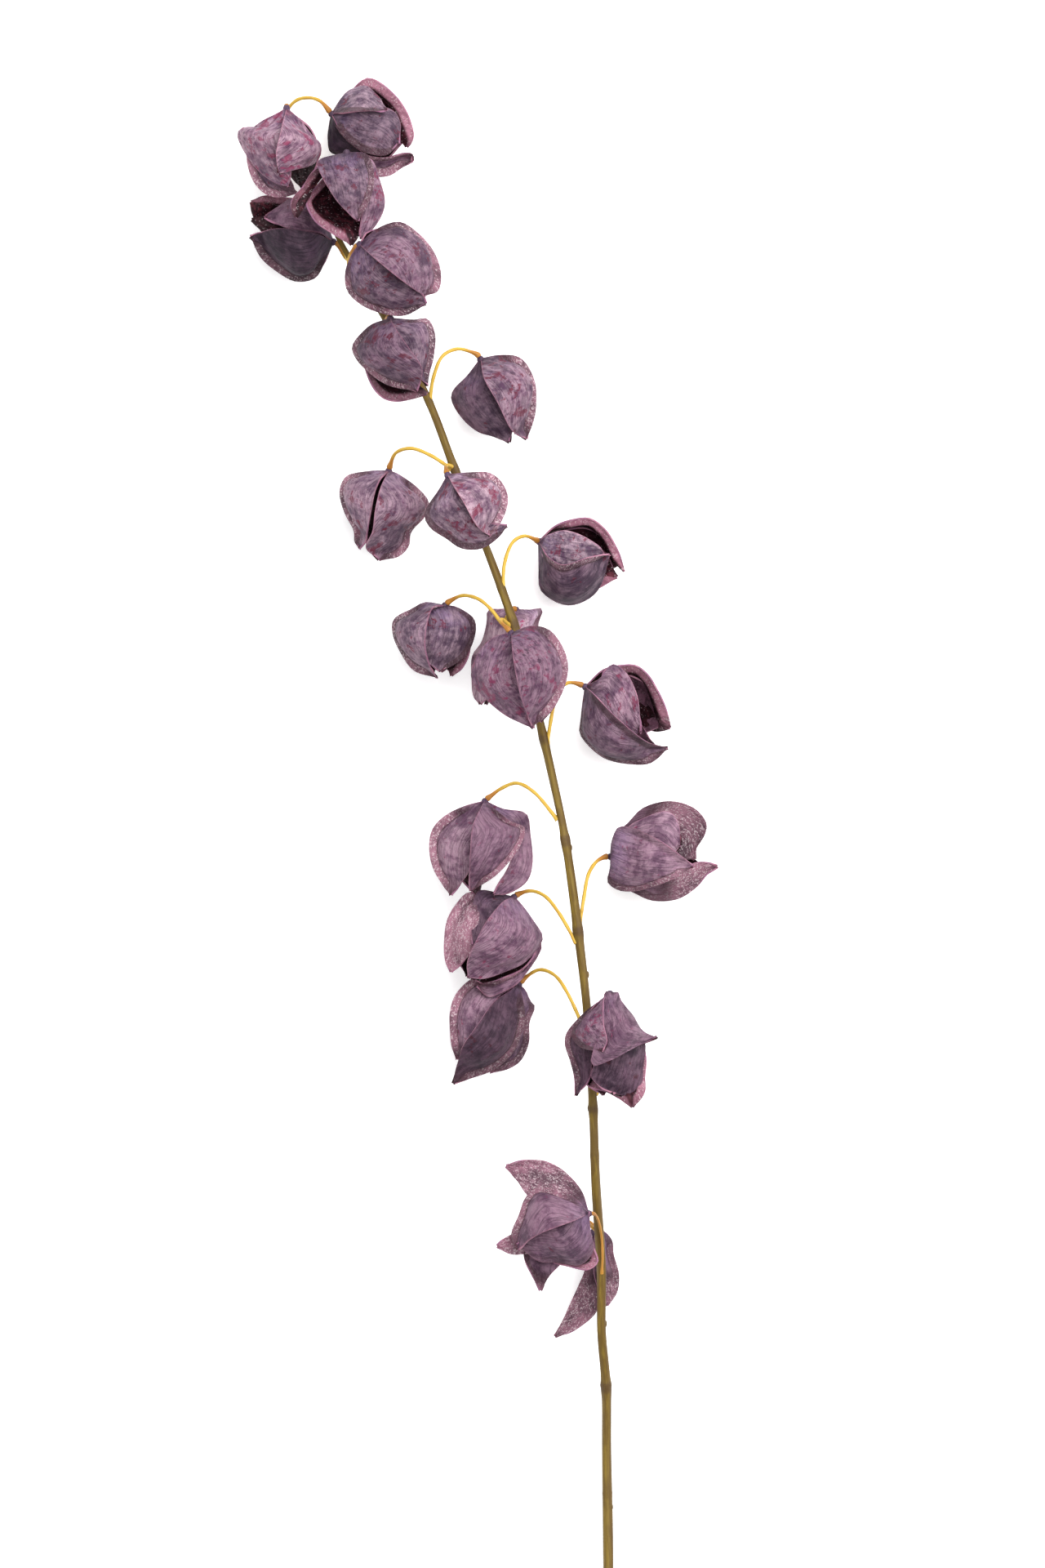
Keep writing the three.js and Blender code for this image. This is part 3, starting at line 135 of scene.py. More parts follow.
# One entry for each lantern, from the uppermost downwards, with places in the photograph's pixels.
# base and mouth are the two ends of its axis, girth is its greatest radius, height that of its middle
# above the floor and rise how much higher the mouth is than the base. route is the stalk's way from the
# stem, as (x, y, height).
#
# A petal has its finish, its tip and its two edges. A place on it is (x, y, face), where face 1 is the
# side of the globe that faces up, 0 its outline and -1 its underside. The finish is how far the sheet
# flares along the first and the second edge in millimetres, how pale, how pink and how blotched it is,
# and how much of it is woven.
# How pale a petal is also paints light and shade on it as a whole: low values darken petals that lie in shade
# and high ones lighten lit petals. A pink above 1 also lightens the inside, which is painted light.
LANTERNS = [
    {
        "base": (351, 131), "mouth": (345, 232), "girth": 21, "height": 36, "rise": 0,
        "route": [(385, 225, 22), (372, 195, 12), (360, 160, 12), (354, 138, 20), (351, 128, 29)],
        "petals": [
            ((0.3, 0.5, 1.02, 0.85, 1, 0), (342, 213, 1), [(344, 164, 1.12), (339, 190, 1.12)],
             [(366, 145, 0.6), (376, 157, 0.45), (385, 168, 0.3), (393, 175, 0.1), (393, 190, 0.1),
              (384, 201, 0.35), (365, 208, 0.8)]),
            ((0.4, 0.3, 1.04, 0.8, 0.95, 0), (353, 229, 0.7),
             [(337, 140, 0.5), (320, 148, 0.35), (309, 156, 0.25), (300, 155, 0.15), (291, 162, 0.05),
              (293, 173, 0.08), (304, 193, 0.25), (318, 211, 0.4), (335, 224, 0.55)],
             [(352, 165, 0.7), (355, 195, 0.72), (357, 214, 0.68)]),
            ((2.6, 0, 0.85, 0.5, 0.3, 0.15), (363, 236, 0.3),
             [(303, 168, 0.2), (301, 188, 0.1), (304, 206, 0.05), (313, 226, 0.05), (326, 238, 0.1),
              (341, 242, 0.15), (354, 240, 0.2)], [(330, 170, 0.5), (345, 200, 0.5), (356, 220, 0.4)]),
            ((0, 0.5, 0.6, 0.4, 0.2, 0), (370, 229, -0.5), [(335, 165, -0.88), (345, 200, -0.8)],
             [(382, 160, -0.2), (391, 190, -0.25), (384, 215, -0.3)]),
        ],
    },
    {
        "base": (405, 138), "mouth": (500, 182), "girth": 21, "height": 27, "rise": 0,
        "route": [(396, 252, 26), (384, 228, 14), (368, 198, 6), (352, 160, 4.5), (350, 136, 9),
                  (362, 121, 15), (378, 118, 20), (391, 122, 24), (400, 131, 27)],
        "petals": [
            ((1.4, 0.4, 0.69, 0.1, 0.55, 0), (488, 176, 0.75),
             [(413, 158, 0.7), (430, 177, 0.8), (450, 188, 0.9), (474, 190, 0.9)],
             [(436, 122, 0.64), (462, 128, 0.71), (484, 137, 0.6), (491, 152, 0.56)]),
            ((3, 0, 0.9, 0.7, 0.2, 0), (498, 179, 0.1),
             [(419, 121, 0.15), (433, 106, 0.1), (440, 99, 0.1), (450, 94, 0.1), (461, 97, 0.1),
              (476, 108, 0.1), (489, 121, 0.1), (498, 135, 0.1), (504, 150, 0.12), (507, 165, 0.15),
              (504, 175, 0.15)], [(430, 125, -0.5), (458, 135, -0.6), (480, 150, -0.4), (490, 170, -0.1)]),
            ((0.4, 1.2, 0.98, 0.15, 0.8, 0), (474, 134, 1.14),
             [(420, 116, 0.6), (432, 107, 0.6), (448, 104, 0.65), (463, 117, 0.85)],
             [(425, 138, 1.05), (446, 137, 1.14)]),
            ((2.4, 2.2, 0.85, 1, 0.15, 0.1), (505, 196, 0.3),
             [(410, 186, 0.1), (430, 206, -0.1), (462, 215, -0.1), (478, 213, -0.05), (492, 205, 0)],
             [(416, 172, 0.3), (430, 182, 0.4), (450, 190, 0.42), (474, 192, 0.4), (496, 187, 0.35),
              (505, 188, 0.35)]),
            ((0, 0, 0.5, 0.3, 0.2, 0), (498, 168, -0.5), [(425, 112, -0.5), (460, 112, -0.8)],
             [(402, 155, 0), (403, 172, 0), (411, 189, -0.05), (430, 198, -0.3), (465, 200, -0.6)]),
            # A narrow, very dark petal over the lantern's lower left: painted shade, a dark strip laid where
            # that side lies in shadow.
            ((0, 0, 0.16, 0.2, 0.1, 0), (448, 191, 0.4),
             [(403, 150, 0.1), (401, 170, 0.1), (404, 186, 0.1)],
             [(411, 150, 0.62), (420, 165, 0.62), (436, 181, 0.6)]),
        ],
    },
    {
        "base": (425, 187), "mouth": (420, 285), "girth": 20, "height": 56, "rise": 0,
        "route": [(400, 258, 25), (412, 225, 26), (422, 199, 38), (425, 190, 50)],
        "petals": [
            ((0.3, 1.6, 0.7, 0.35, 0.8, 0), (439, 272, 0.9),
             [(391, 198, 0.5), (396, 220, 0.9), (415, 251, 1.05)],
             [(450, 190, 0.5), (459, 212, 0.85), (455, 244, 0.95)]),
            ((0.4, 0.3, 0.85, 0.8, 0.75, 0), (443, 294, 0.5),
             [(455, 196, 0.1), (468, 228, 0), (472, 250, 0), (462, 276, 0.2)],
             [(445, 215, 0.49), (446, 250, 0.52), (442, 275, 0.52)]),
            ((1.2, 0, 0.9, 0.9, 0.8, 0), (363, 267, 0.2),
             [(392, 203, 0.4), (372, 228, 0.35), (356, 250, 0.3)],
             [(398, 212, -0.2), (381, 238, -0.1), (372, 256, 0)]),
            ((2.4, 0, 0.95, 0.95, 0.2, 0), (431, 301, 0.2),
             [(390, 225, -0.5), (374, 248, 0), (384, 271, 0.25), (406, 287, 0.35)],
             [(425, 215, -1), (440, 255, -0.9), (445, 280, -0.4)]),
            ((0, 0.4, 0.7, 0.4, 0.2, 0), (448, 286, -0.3), [(418, 205, -0.88), (430, 240, -0.88)],
             [(457, 205, -0.2), (466, 240, -0.25), (460, 268, -0.3)]),
        ],
    },
    {
        "base": (409, 295), "mouth": (325, 305), "girth": 20, "height": 23, "rise": 0,
        "route": [(425, 310, 32), (424, 316, 26), (419, 308, 23), (413, 297, 23)],
        "petals": [
            ((0.3, 3, 0.25, 0.2, 0.1, 0.05), (306, 289, 0.5),
             [(385, 285, 0.9), (345, 279, 1.05), (318, 284, 0.9)],
             [(399, 316, 0.4), (386, 340, 0.05), (362, 344, 0), (338, 331, 0.05), (318, 314, 0.3)]),
            ((0.5, 0.3, 0.62, 0.6, 0.3, 0), (324, 265, 0.85),
             [(395, 262, 0.4), (378, 246, 0.1), (358, 241, 0.1), (338, 252, 0.4)],
             [(390, 284, 0.61), (355, 280, 0.66)]),
            ((2, 0, 0.7, 0.95, 0.3, 0), (307, 246, 0),
             [(385, 250, -0.2), (350, 240, -0.2), (322, 238, -0.2)],
             [(370, 290, -0.9), (330, 290, -0.7), (312, 272, -0.3)]),
            ((0.4, 0, 0.6, 0.8, 0.3, 0), (308, 268, 0.3), [(380, 270, 0.15), (340, 262, 0.3)],
             [(375, 300, -0.3), (335, 295, 0.1)]),
            ((0, 0.5, 0.5, 0.4, 0.2, 0), (312, 300, -0.3), [(380, 285, -0.8), (340, 280, -0.8)],
             [(392, 328, -0.2), (365, 338, -0.3), (335, 328, -0.3)]),
        ],
    },
    {
        "base": (440, 300), "mouth": (517, 370), "girth": 23, "height": 62, "rise": 0,
        "route": [(446, 346, 34), (432, 336, 40), (427, 322, 50), (432, 309, 59)],
        "petals": [
            ((0.3, 3.2, 0.74, 0.6, 0.8, 0), (521, 364, 0.6),
             [(456, 316, 1.05), (481, 337, 1.12), (508, 357, 1)],
             [(463, 281, 0.4), (490, 272, 0.1), (514, 288, 0), (532, 311, 0), (541, 340, 0.05),
              (537, 358, 0.15)]),
            ((2, 0.2, 0.7, 0.35, 0.95, 0), (522, 374, 0.5),
             [(431, 313, 0.3), (423, 335, 0), (425, 357, 0), (440, 373, 0.05), (466, 385, 0.05),
              (495, 388, 0.1)], [(468, 306, 0.59), (494, 328, 0.62), (514, 352, 0.58)]),
            ((0.3, 0, 0.5, 0.4, 0.2, 0), (526, 360, -0.2),
             [(450, 285, -0.3), (495, 282, -0.4), (525, 315, -0.3)], [(440, 330, -0.9), (475, 355, -0.88)]),
            ((0, 0.5, 0.5, 0.4, 0.2, 0), (513, 373, -0.2), [(450, 300, -0.78), (485, 320, -0.8)],
             [(432, 340, -0.3), (455, 376, -0.3), (490, 380, -0.3)]),
        ],
    },
    {
        "base": (478, 390), "mouth": (518, 478), "girth": 22, "height": 57, "rise": 0,
        "route": [(488, 420, 36), (478, 408, 39), (473, 394, 45), (476, 389, 53)],
        "petals": [
            ((2.4, 0.2, 0.62, 0.45, 0.75, 0), (510, 480, 0.8),
             [(452, 400, 0.5), (431, 425, 0.1), (436, 440, 0.1), (450, 455, 0.4), (476, 473, 0.6)],
             [(484, 402, 1), (503, 430, 1.1), (518, 455, 1)]),
            ((0.2, 1.8, 0.84, 0.35, 0.6, 0), (524, 473, 0.45),
             [(480, 405, 0.61), (492, 430, 0.63), (507, 455, 0.58)],
             [(505, 392, 0.4), (524, 391, 0.05), (533, 412, 0), (531, 437, 0), (527, 455, 0.1)]),
            ((1.6, 0, 0.55, 0.5, 0.2, 0.1), (523, 483, 0.2),
             [(446, 425, -0.3), (452, 468, -0.1), (468, 488, 0), (487, 493, 0.1)],
             [(470, 420, -0.95), (500, 460, -0.6), (515, 475, -0.1)]),
            ((0, 0.4, 0.6, 0.4, 0.2, 0), (521, 468, -0.3), [(465, 405, -0.78), (485, 445, -0.8)],
             [(518, 400, -0.3), (529, 435, -0.3)]),
        ],
    },
    {
        "base": (588, 438), "mouth": (622, 535), "girth": 22, "height": 28, "rise": 0,
        "route": [(526, 494, 38), (531, 462, 40), (542, 436, 38), (560, 427, 34), (576, 430, 30),
                  (585, 434, 28)],
        "petals": [
            ((0.3, 3, 0.86, 0.5, 1, 0), (645, 537, 0.2),
             [(594, 466, 1.05), (609, 493, 1.12), (625, 524, 0.95), (634, 533, 0.6)],
             [(612, 434, 0.4), (639, 439, 0.1), (656, 467, 0), (657, 493, 0), (653, 516, 0)]),
            ((1, 0.2, 0.6, 0.35, 0.4, 0), (624, 541, 0.6),
             [(574, 457, 0.3), (553, 485, 0), (567, 514, 0.05), (585, 529, 0.2), (604, 535, 0.4)],
             [(608, 458, 0.58), (624, 487, 0.59), (630, 512, 0.54)]),
            ((0.5, 0, 0.6, 0.4, 0.2, 0), (618, 530, -0.4),
             [(578, 455, -0.3), (562, 488, -0.3), (585, 522, -0.4)], [(605, 460, -1), (617, 500, -1)]),
            ((0, 0.5, 0.6, 0.4, 0.2, 0), (632, 530, -0.3), [(592, 460, -0.8), (602, 500, -0.8)],
             [(635, 450, -0.25), (650, 490, -0.3), (643, 520, -0.3)]),
        ],
    },
    {
        "base": (476, 575), "mouth": (462, 672), "girth": 24, "height": 23.3, "rise": 0,
        "route": [(554, 575, 41), (528, 558, 42), (504, 549, 38), (485, 554, 31), (478, 568, 25)],
        "petals": [
            ((2.2, 0.3, 1, 0.4, 0.7, 0.05), (440, 671, 0.5),
             [(452, 576, 0.5), (423, 582, 0.1), (415, 600, 0), (422, 628, 0), (433, 650, 0.2),
              (434, 663, 0.35)],
             [(465, 588, 0.95), (459, 604, 0.92), (455, 624, 0.9), (450, 648, 0.85), (447, 662, 0.7)]),
            ((2.8, 0.8, 0.95, 0.45, 0.75, 0), (464, 685, 0.5),
             [(488, 580, 0.6), (512, 598, 0.2), (525, 615, 0), (520, 633, 0), (504, 652, 0.1),
              (501, 668, 0.15), (488, 681, 0.3)],
             [(466, 598, 1.08), (460, 623, 1.12), (457, 650, 1), (448, 672, 0.75)]),
            ((0.4, 0, 0.5, 0.4, 0.2, 0.2), (455, 673, -0.4),
             [(440, 592, -0.3), (424, 615, -0.3), (435, 645, -0.4)], [(475, 600, -1), (470, 650, -1)]),
            ((0, 0.4, 0.5, 0.4, 0.2, 0.2), (475, 674, -0.4), [(460, 600, -0.8), (455, 650, -0.8)],
             [(505, 602, -0.3), (515, 625, -0.3), (500, 655, -0.4)]),
        ],
    },
    {
        "base": (548, 582), "mouth": (600, 662), "girth": 21, "height": 65, "rise": 0,
        "route": [(555, 572, 41), (548, 570, 49), (546, 573, 57), (547, 578, 63)],
        "petals": [
            ((0.3, 3.2, 1.2, 0.6, 0.95, 0), (600, 657, 0.55),
             [(556, 596, 1), (570, 620, 1.12), (585, 646, 1.05)],
             [(575, 579, 0.65), (600, 580, 0.45), (615, 592, 0.4), (622, 612, 0.35), (614, 640, 0.35)]),
            ((1.4, 0.3, 1.02, 0.4, 0.85, 0), (621, 645, 0.3),
             [(538, 600, 0.3), (520, 630, 0), (527, 646, 0), (547, 660, 0.1), (565, 672, 0.2),
              (590, 673, 0.3), (610, 660, 0.3)], [(568, 592, 0.58), (585, 618, 0.6), (600, 640, 0.56)]),
            ((0.4, 0, 0.7, 0.4, 0.2, 0), (600, 662, -0.3),
             [(545, 605, -0.3), (532, 635, -0.3), (560, 660, -0.4)], [(575, 605, -1), (595, 640, -0.9)]),
            ((0, 0.4, 0.7, 0.4, 0.2, 0), (608, 652, -0.2), [(560, 605, -0.78), (578, 640, -0.78)],
             [(595, 592, -0.3), (612, 615, -0.3), (612, 640, -0.3)]),
        ],
    },
    {
        "base": (659, 662), "mouth": (755, 695), "girth": 24, "height": 21, "rise": 0,
        "route": [(616, 724, 45), (618, 690, 45), (628, 664, 38), (643, 656, 30), (655, 660, 25)],
        "petals": [
            ((3.4, 0, 1.25, 0.7, 0.15, 0), (765, 699, 0.3),
             [(678, 644, 0.2), (700, 635, 0.25), (724, 634, 0.3), (743, 648, 0.35), (758, 672, 0.4)],
             [(680, 650, -0.6), (715, 650, -0.8), (742, 668, -0.5)]),
            ((0.3, 0.3, 1.16, 0.1, 0.8, 0), (741, 678, 0.72),
             [(672, 654, 0.6), (690, 649, 0.65), (712, 655, 0.7), (729, 665, 0.7)],
             [(668, 688, 0.64), (695, 698, 0.66), (722, 692, 0.61)]),
            ((2, 0.8, 0.56, 0.4, 0.3, 0), (747, 680, 0.95),
             [(672, 682, 0.9), (690, 692, 1.1), (718, 684, 1.1)],
             [(660, 700, 0.2), (662, 722, 0.05), (680, 737, 0), (700, 741, 0), (722, 733, 0.1),
              (736, 718, 0.3)]),
            ((0, 2.6, 1.1, 0.85, 0.2, 0), (756, 706, -0.1), [(695, 678, -0.8), (738, 672, -0.5)],
             [(672, 720, -0.3), (700, 733, -0.4), (730, 722, -0.2)]),
            ((0, 0, 0.8, 0.3, 0.2, 0), (758, 690, -0.4),
             [(680, 652, -0.4), (720, 645, -0.5), (750, 668, -0.3)], [(680, 700, -1), (735, 702, -0.8)]),
        ],
    },
    {
        "base": (545, 740), "mouth": (532, 828), "girth": 22, "height": 26, "rise": 0,
        "route": [(629, 770, 46), (615, 763, 45), (603, 748, 44), (587, 734, 39), (567, 729, 32),
                  (552, 735, 27)],
        "petals": [
            ((2.2, 0.3, 0.9, 0.3, 0.6, 0), (535, 830, 0.5),
             [(520, 737, 0.5), (503, 746, 0.3), (481, 759, 0), (480, 777, 0), (492, 803, 0),
              (508, 821, 0.2)], [(530, 744, 1), (522, 770, 1.1), (521, 797, 1.1), (528, 820, 0.8)]),
            ((1.4, 0.2, 0.9, 0.3, 0.6, 0), (540, 822, 0.6),
             [(560, 743, 0.5), (580, 757, 0.1), (583, 771, 0), (577, 792, 0), (566, 807, 0.2)],
             [(522, 752, 0.64), (512, 775, 0.66), (512, 800, 0.64)]),
            ((1.8, 0, 0.7, 0.5, 0.2, 0.1), (553, 827, -0.1),
             [(573, 765, -0.3), (576, 795, -0.3), (567, 818, -0.1)], [(535, 760, -0.8), (535, 800, -0.8)]),
            ((0.4, 0, 0.7, 0.4, 0.2, 0), (530, 824, -0.4),
             [(500, 755, -0.3), (488, 780, -0.3), (505, 812, -0.3)], [(545, 760, -1), (545, 800, -1)]),
        ],
    },
    {
        "base": (632, 745), "mouth": (598, 862), "girth": 20, "height": 22, "rise": 0,
        "route": [(621, 757, 43), (623, 752, 36), (624, 748, 30), (627, 746, 26)],
        "petals": [
            ((1, 0.3, 1.3, 0.85, 0.5, 0), (588, 862, 0.3),
             [(612, 745, 0.6), (597, 747, 0.2), (596, 762, 0.1), (590, 786, 0), (578, 803, 0),
              (577, 832, 0), (580, 854, 0.1)], [(628, 770, 0.95), (620, 810, 0.95), (604, 845, 0.8)]),
            ((0.3, 1.4, 1.3, 0.95, 0.9, 0), (612, 862, 0.4), [(624, 770, 0.8), (612, 815, 0.8)],
             [(648, 746, 0.4), (665, 745, 0.1), (660, 762, 0.05), (657, 790, 0), (643, 835, 0.1)]),
            ((0.4, 0, 0.8, 0.6, 0.2, 0.1), (595, 862, -0.3),
             [(610, 760, -0.3), (590, 800, -0.3), (588, 840, -0.3)], [(632, 770, -0.9), (618, 830, -0.9)]),
            ((0, 0.4, 0.8, 0.5, 0.2, 0), (608, 862, -0.3), [(615, 765, -0.75), (605, 820, -0.75)],
             [(655, 760, -0.3), (650, 800, -0.3), (630, 845, -0.3)]),
        ],
    },
    {
        "base": (626, 775), "mouth": (654, 890), "girth": 25, "height": 74, "rise": 4,
        "route": [(625, 767, 46), (616, 759, 54), (613, 761, 63), (619, 768, 70)],
        "petals": [
            ((0.6, 0.2, 0.74, 1, 1, 0), (653, 892, 0.4),
             [(606, 780, 0.5), (590, 795, 0.2), (583, 808, 0.1), (577, 828, 0), (583, 843, 0),
              (597, 859, 0.1), (622, 879, 0.3)], [(637, 800, 0.58), (639, 835, 0.62), (645, 866, 0.58)]),
            ((0.3, 3.4, 0.62, 1.05, 0.9, 0), (653, 889, 0.7),
             [(627, 790, 1), (631, 822, 1.14), (639, 857, 1.12), (647, 878, 0.95)],
             [(650, 767, 0.75), (672, 772, 0.65), (690, 796, 0.6), (696, 820, 0.55), (690, 848, 0.6),
              (671, 876, 0.65)]),
            ((2.8, 0, 0.6, 0.6, 0.3, 0.1), (662, 884, 0.2),
             [(655, 772, 0), (673, 774, -0.1), (690, 797, -0.1), (694, 817, -0.1), (690, 840, -0.1),
              (678, 868, 0)], [(650, 790, 0.4), (668, 830, 0.4), (664, 866, 0.3)]),
            ((0.4, 0, 0.6, 0.5, 0.2, 0), (648, 884, -0.3),
             [(605, 795, -0.3), (590, 830, -0.3), (615, 868, -0.3)], [(645, 800, -0.9), (655, 850, -0.9)]),
            ((0, 0.4, 0.6, 0.5, 0.2, 0), (658, 882, -0.3), [(625, 800, -0.72), (635, 850, -0.75)],
             [(668, 785, -0.25), (686, 820, -0.3), (675, 865, -0.3)]),
        ],
    },
    {
        "base": (716, 840), "mouth": (800, 905), "girth": 25, "height": 28, "rise": 0,
        "route": [(670, 912, 47), (676, 875, 47), (682, 850, 40), (696, 836, 32), (711, 838, 28)],
        "petals": [
            ((0.3, 0.3, 0.93, 0.75, 0.75, 0), (784, 897, 0.85),
             [(722, 868, 0.56), (745, 893, 0.57), (768, 903, 0.56)],
             [(735, 830, 0.6), (750, 813, 0.3), (768, 825, 0.7), (782, 861, 0.9)]),
            ((3.2, 0.3, 0.7, 0.7, 0.2, 0.12), (821, 891, 0.15),
             [(740, 818, 0.25), (765, 813, 0.15), (780, 814, 0.15), (795, 827, 0.15), (806, 845, 0.15),
              (818, 872, 0.2)], [(742, 845, -0.7), (772, 875, -0.8), (800, 895, -0.6)]),
            ((1.2, 1.6, 0.7, 0.5, 0.5, 0.05), (818, 916, 0.4),
             [(728, 851, 1), (755, 879, 1.12), (785, 904, 1.05), (802, 912, 0.9)],
             [(714, 855, 0.3), (711, 880, 0), (709, 897, 0), (722, 915, 0), (742, 930, 0), (772, 936, 0),
              (797, 934, 0.1)]),
            ((0.4, 0, 1.35, 1.5, 0.2, 0), (815, 888, -0.05),
             [(745, 822, -0.4), (785, 832, -0.4), (812, 862, -0.25)], [(730, 875, -0.9), (770, 900, -0.9)]),
            ((0, 0.4, 0.7, 1.3, 0.2, 0), (803, 915, -0.1), [(738, 850, -0.75), (780, 880, -0.75)],
             [(716, 885, -0.3), (745, 920, -0.4), (780, 928, -0.3)]),
        ],
    },
    {
        "base": (594, 980), "mouth": (585, 1092), "girth": 25, "height": 33, "rise": 0,
        "route": [(683, 1004, 47), (654, 970, 45), (633, 959, 40), (613, 966, 35), (602, 974, 33)],
        "petals": [
            ((0.3, 1.8, 0.64, 1, 0.3, 0), (577, 1091, 0.75),
             [(587, 992, 1.05), (579, 1012, 1.12), (576, 1045, 1.12), (575, 1072, 0.98)],
             [(607, 991, 1), (626, 1006, 1.08), (643, 1014, 1.02), (634, 1042, 1.1), (610, 1070, 1.05)]),
            ((3.2, 0.3, 1, 0.85, 0.45, 0.12), (552, 1096, 0.3),
             [(575, 985, 0.4), (546, 998, 0.1), (529, 1016, 0), (525, 1040, 0), (530, 1063, 0),
              (541, 1082, 0.1)], [(592, 1000, 0.36), (586, 1035, 0.39), (574, 1068, 0.36)]),
            ((0.8, 0.3, 0.8, 0.7, 0.25, 0), (605, 1096, 0.65),
             [(616, 990, 0.3), (645, 996, 0), (650, 1020, 0), (653, 1055, 0), (646, 1079, 0.1),
              (625, 1093, 0.2)], [(612, 1008, 0.39), (628, 1040, 0.42), (618, 1070, 0.36)]),
            ((0.4, 0, 0.6, 0.5, 0.2, 0.1), (584, 1098, -0.5),
             [(558, 1003, -0.3), (545, 1045, -0.4), (563, 1076, -0.4)], [(600, 1000, -1), (594, 1060, -1)]),
            ((0, 0.4, 0.6, 0.5, 0.2, 0), (586, 1078, -0.4), [(585, 1000, -0.78), (580, 1050, -0.8)],
             [(636, 1005, -0.3), (638, 1035, -0.35), (604, 1058, -0.3)]),
        ],
    },
    {
        "base": (747, 1049), "mouth": (850, 1062), "girth": 23, "height": 27, "rise": 0,
        "route": [(709, 1140, 46), (715, 1100, 44), (721, 1070, 38), (732, 1054, 31), (743, 1049, 27)],
        "petals": [
            ((1.6, 1, 0.9, 0.9, 0.25, 0), (849, 1061, 1.02),
             [(748, 1062, 0.45), (744, 1080, 0.35), (756, 1090, 0.4), (774, 1092, 0.5), (796, 1087, 0.8),
              (827, 1076, 1)],
             [(749, 1030, 0.65), (757, 1013, 0.6), (772, 1013, 0.9), (788, 1019, 1.1), (806, 1028, 1.2),
              (826, 1042, 1.16)]),
            ((1, 0, 0.5, 0.9, 0.2, 0.6), (851, 1052, 0.2),
             [(757, 1020, 0.15), (771, 1006, 0.1), (787, 990, 0.1), (815, 981, 0.1), (838, 984, 0.1),
              (855, 993, 0.1), (866, 1010, 0.1), (862, 1026, 0.15), (854, 1037, 0.2)],
             [(770, 1035, 0.1), (810, 1045, 0.1), (838, 1052, 0.1)]),
            ((1.4, 0, 0.75, 0.7, 0.2, 0.5), (879, 1061, 0.3),
             [(752, 1080, 0.05), (776, 1093, 0.05), (800, 1103, 0.05), (832, 1101, 0.1), (854, 1086, 0.15),
              (866, 1070, 0.2)],
             [(765, 1070, 0.16), (800, 1066, 0.2), (838, 1062, 0.18), (858, 1056, 0.12)]),
            ((0.3, 0.3, 0.95, 0.95, 0.3, 0), (833, 1036, 0.95),
             [(760, 1026, 0.6), (772, 1011, 0.65), (786, 1003, 0.75), (801, 996, 0.8), (817, 993, 0.85),
              (827, 999, 0.95), (832, 1010, 1)], [(770, 1040, 0.6), (800, 1046, 0.65), (820, 1048, 0.7)]),
            ((0.4, 0, 0.4, 0.5, 0.2, 0.2), (852, 1042, -0.3),
             [(770, 1015, -0.3), (815, 995, -0.3), (850, 1015, -0.2)], [(775, 1060, -1), (825, 1060, -1)]),
            ((0, 0.4, 0.4, 0.5, 0.2, 0), (862, 1062, -0.1), [(770, 1040, -0.75), (825, 1035, -0.75)],
             [(770, 1085, -0.3), (810, 1095, -0.35), (845, 1080, -0.2)]),
        ],
    },
    {
        "base": (630, 1098), "mouth": (575, 1200), "girth": 23, "height": 28, "rise": 0,
        "route": [(706, 1155, 46), (684, 1117, 44), (667, 1097, 37), (650, 1091, 31), (635, 1095, 27)],
        "petals": [
            ((0.8, 0.3, 0.74, 0.95, 0.5, 0), (574, 1197, 0.8),
             [(637, 1105, 0.5), (653, 1126, 0.2), (665, 1148, 0.1), (658, 1163, 0.2), (642, 1179, 0.5),
              (617, 1191, 0.7), (592, 1199, 0.8)],
             [(616, 1104, 0.9), (597, 1127, 1.05), (581, 1156, 1.1), (572, 1180, 0.9)]),
            ((0.3, 0.3, 0.5, 0.5, 0.5, 0), (580, 1157, 0.8),
             [(612, 1094, 0.3), (586, 1091, 0.2), (577, 1120, 0.4)], [(616, 1110, 0.6), (600, 1135, 0.68)]),
            ((2.8, 0.3, 0.95, 0.9, 0.2, 0.75), (552, 1190, 0.3),
             [(600, 1094, 0), (573, 1093, -0.05), (561, 1104, 0), (547, 1128, 0), (543, 1157, 0),
              (545, 1177, 0.05)], [(598, 1110, 0.45), (586, 1140, 0.55), (574, 1170, 0.5)]),
            ((0.6, 1.6, 0.7, 0.8, 0.2, 0.1), (585, 1207, 0.5),
             [(650, 1136, 0), (664, 1158, 0), (652, 1182, 0.05), (635, 1204, 0.1), (612, 1217, 0.2),
              (598, 1221, 0.3)], [(654, 1146, 0.2), (657, 1166, 0.2), (642, 1186, 0.3), (612, 1200, 0.4)]),
            ((0, 0.4, 0.5, 0.5, 0.2, 0), (572, 1196, -0.1),
             [(605, 1105, -0.4), (572, 1140, -0.4), (558, 1172, -0.3)],
             [(657, 1138, -0.25), (656, 1175, -0.2), (610, 1210, -0.2)]),
        ],
    },
    {
        "base": (636, 1205), "mouth": (565, 1310), "girth": 23, "height": 23, "rise": 10,
        "route": [(713, 1254, 45), (694, 1214, 41), (679, 1194, 32), (660, 1188, 23), (643, 1198, 18)],
        "petals": [
            ((0.4, 2, 0.26, 0.6, 0.3, 0.1), (555, 1327, 0.5),
             [(625, 1213, 0.7), (606, 1226, 0.95), (585, 1255, 1.12), (567, 1281, 1.05), (560, 1302, 0.8)],
             [(640, 1222, 0.8), (643, 1246, 0.75), (639, 1266, 0.75), (630, 1288, 0.7), (606, 1310, 0.65),
              (580, 1320, 0.6)]),
            ((2.6, 0.3, 0.86, 0.85, 0.5, 0.15), (560, 1297, 0.4),
             [(610, 1199, 0), (582, 1197, 0), (560, 1216, 0), (551, 1240, 0), (551, 1266, 0),
              (553, 1282, 0.05)], [(610, 1222, 0.33), (595, 1250, 0.42), (578, 1280, 0.39)]),
            ((1.6, 0.3, 0.6, 0.7, 0.2, 0.2), (600, 1313, 0.2),
             [(644, 1213, 0.2), (650, 1226, 0.1), (656, 1233, 0), (649, 1253, 0), (648, 1278, 0),
